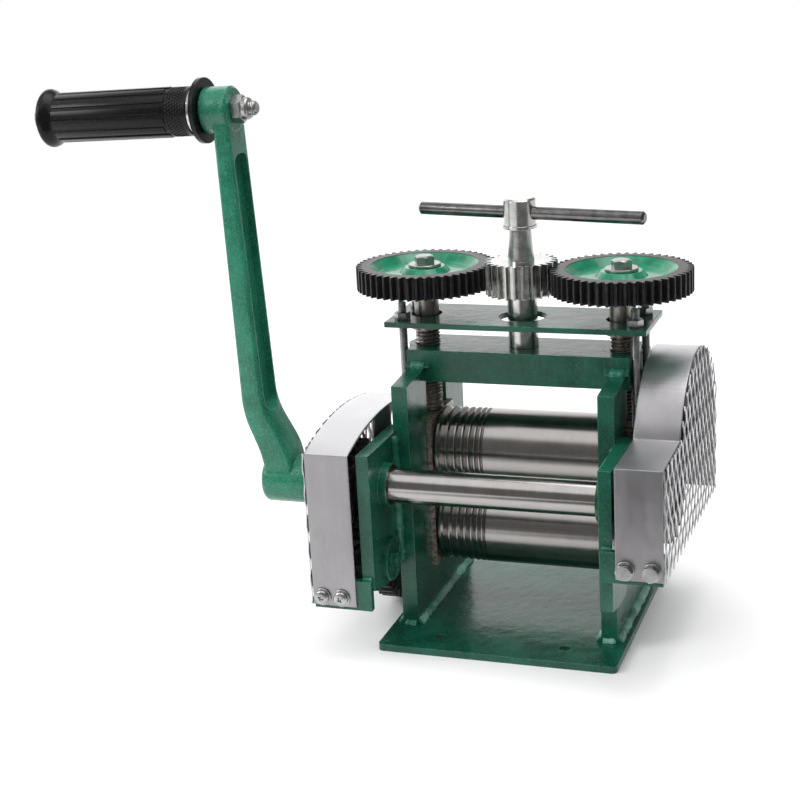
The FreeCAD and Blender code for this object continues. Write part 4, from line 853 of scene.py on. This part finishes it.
def phillipsHead():
    # a low dome with a tapering cross cut into it
    p = fastener
    low, tall, wide, rim = p["washer"], p["headHeight"], p["headRadius"], p["headRim"]
    turns = [math.radians(90 / p["domeSteps"] * step) for step in range(p["domeSteps"])]
    dome = [(wide * math.cos(turn) ** p["domePower"], low + rim + (tall - rim) * math.sin(turn))
            for turn in turns]
    head = turned([(0, low), (wide, low), *dome, (0, low + tall)])
    for turn in p["slotTurns"]:
        slot = bmesh.new()
        verts = bar(slot, Vector(p["slot"]) * mm, (0, 0, (low + tall) * mm))
        for v in verts:
            if v.co.z < (low + tall) * mm:
                v.co.x *= p["slotTaper"]
        bmesh.ops.rotate(slot, verts=slot.verts, matrix=Matrix.Rotation(math.radians(turn), 3, "Z"))
        head = carved(head, slot)
    return head


def makeCoverFasteners():
    p = fastener
    bolts, screws = bmesh.new(), bmesh.new()
    for index, (x, z) in enumerate(p["boltPlaces"]):
        turn = Matrix.Rotation(p["boltTurn"] * index, 4, "Z")
        spot = facing((x, p["faceY"], z), (0, -1, 0)) @ turn
        join(bolts, shankAndWasher(), spot)
        head = hexagon(p["flats"], p["hexHeight"], crown=p["hexCrown"])
        join(bolts, head, spot @ Matrix.Translation((0, 0, p["washer"] * mm)))
    for index, (x, z) in enumerate(p["screwPlaces"]):
        turn = Matrix.Rotation(p["screwTurn"] * index, 4, "Z")
        spot = facing((x, p["faceY"], z), (0, -1, 0)) @ turn
        join(screws, shankAndWasher(), spot)
        join(screws, phillipsHead(), spot)
    finishPiece("chamfered_cover_bolts", bolts, "frame", "zinc", ["right_cover_bolts"],
                smooth=20)
    finishPiece("cross_head_cover_screws", screws, "frame", "zinc",
                ["left_cover_screws"], smooth=25)


makeCoverFasteners()
print("cover fasteners made")

# floor, light and camera
stage = {"floorSize": 9.0, "frontFade": (-0.34, -0.20), "leftKeep": (-0.04, -0.20),
         "farFade": (2.6, 1.2)}
# where the bright parts of the room begin and end, as X, Y and Z of a direction
room = {
    "dim": 0.20, "ceilingGlow": 1.30, "ceilingLean": 0.35, "ceilingEdge": (0.58, 0.78),
    "mirroredShift": (0.29, 0.19), "rise": 0.30, "riseEdge": (0.20, 0.32),
    "backEdge": (0.10, 0.40), "backTop": (0.62, 0.45), "backAcross": (-0.2, 0.35),
    "backGlow": (0.45, 1.6), "mirroredEdge": (-0.06, -0.26),
    "leftEdge": (0.25, 0.65), "leftFoot": (-0.10, 0.15), "leftGlow": 0.7,
}
lamps = {
    "left softbox": {"place": (-1.1, -0.7, 0.9), "target": (0, 0, 0.12), "size": (0.6, 0.6),
                     "power": 8},
    "top softbox": {"place": (0.2, 0.2, 1.5), "target": (0, 0, 0.1), "size": (1.0, 0.8),
                    "power": 8},
}
view = {"place": (0.24416, -0.88583, 0.40457), "right": (0.94455, 0.32429, -0.05159),
        "back": (0.32499, -0.90079, 0.28803), "lens": 76.09}


def makeStage():
    # pale floor that fades out towards the operator, so that fronts reflect the dim room
    shape = bmesh.new()
    bmesh.ops.create_grid(shape, x_segments=1, y_segments=1, size=stage["floorSize"] / 2)
    mesh = bpy.data.meshes.new("floor")
    shape.to_mesh(mesh)
    shape.free()
    floor = bpy.data.objects.new("floor", mesh)
    f = Finish("pale floor", Roughness=0.6)
    front = f.spread(f.axisValue("Y", f.where), *stage["frontFade"])
    kept = front.larger(f.spread(f.axisValue("X", f.where), *stage["leftKeep"]))
    far = f.spread(f.axisDistance((0, 0, 0), (1, 1, 0)), *stage["farFade"])
    tone = f.mix(f.noise(0.8, 2), rgb(0.93, 0.93, 0.93), rgb(0.95, 0.95, 0.95))
    f.wire(Base_Color=tone, Alpha=kept * far)
    mesh.materials.append(f.material)
    bpy.context.scene.collection.objects.link(floor)


def makeWorld():
    # a bright ceiling, a white backdrop and a dim room in front; metal shows them as bands
    r = room
    world = bpy.data.worlds.new("studio")
    bpy.context.scene.world = world
    world.use_nodes = True
    g = Graph(world.node_tree)
    heading = g.node("ShaderNodeTexCoord", out="Generated")
    across, depth, height = [g.axisValue(axis, heading) for axis in "XYZ"]
    mirrored = g.node("ShaderNodeLightPath", out="Is Glossy Ray")
    edges = [edge + shift * mirrored for edge, shift in zip(r["ceilingEdge"], r["mirroredShift"])]
    ceiling = g.spread(height - r["ceilingLean"] * depth, *edges)
    rise = r["rise"] * g.spread(0 - across, *r["riseEdge"])    # the backdrop is taller on the left
    back = g.spread(depth, *r["backEdge"]) * g.spread(height, *[edge + rise for edge in r["backTop"]])
    left = g.spread(0 - across, *r["leftEdge"]) * g.spread(height, *r["leftFoot"])
    glow = r["dim"] + r["ceilingGlow"] * ceiling
    glow = glow.larger(back * g.spread(0 - across, *r["backAcross"], *r["backGlow"]))
    glow = glow.larger(mirrored * back * g.spread(across, *r["mirroredEdge"]))
    glow = glow.larger(left * r["leftGlow"])
    seen = g.node("ShaderNodeLightPath", out="Is Camera Ray")
    shown = seen.larger(g.node("ShaderNodeLightPath", out="Is Transmission Ray"))
    strength = glow * (1 - shown) + shown
    background = world.node_tree.nodes["Background"]
    world.node_tree.links.new(strength.socket, background.inputs["Strength"])
    background.inputs["Color"].default_value = (1, 1, 1, 1)


def lamp(name, place, target, size, power):
    data = bpy.data.lights.new(name, "AREA")
    data.shape = "RECTANGLE"
    data.size, data.size_y = size
    data.energy = power
    made = bpy.data.objects.new(name, data)
    made.location = place
    made.rotation_euler = (Vector(target) - Vector(place)).to_track_quat("-Z", "Y").to_euler()
    bpy.context.scene.collection.objects.link(made)


def makeCamera():
    data = bpy.data.cameras.new("camera")
    data.sensor_width = 36
    data.lens = view["lens"]
    camera = bpy.data.objects.new("camera", data)
    right, back = Vector(view["right"]).normalized(), Vector(view["back"]).normalized()
    up = back.cross(right).normalized()
    turn = Matrix((up.cross(back), up, back)).transposed().to_4x4()
    camera.matrix_world = Matrix.Translation(view["place"]) @ turn
    bpy.context.scene.collection.objects.link(camera)
    bpy.context.scene.camera = camera


makeStage()
makeWorld()
for name, values in lamps.items():
    lamp(name, **values)
makeCamera()
bpy.context.scene.view_settings.view_transform = "Standard"
print("stage set")
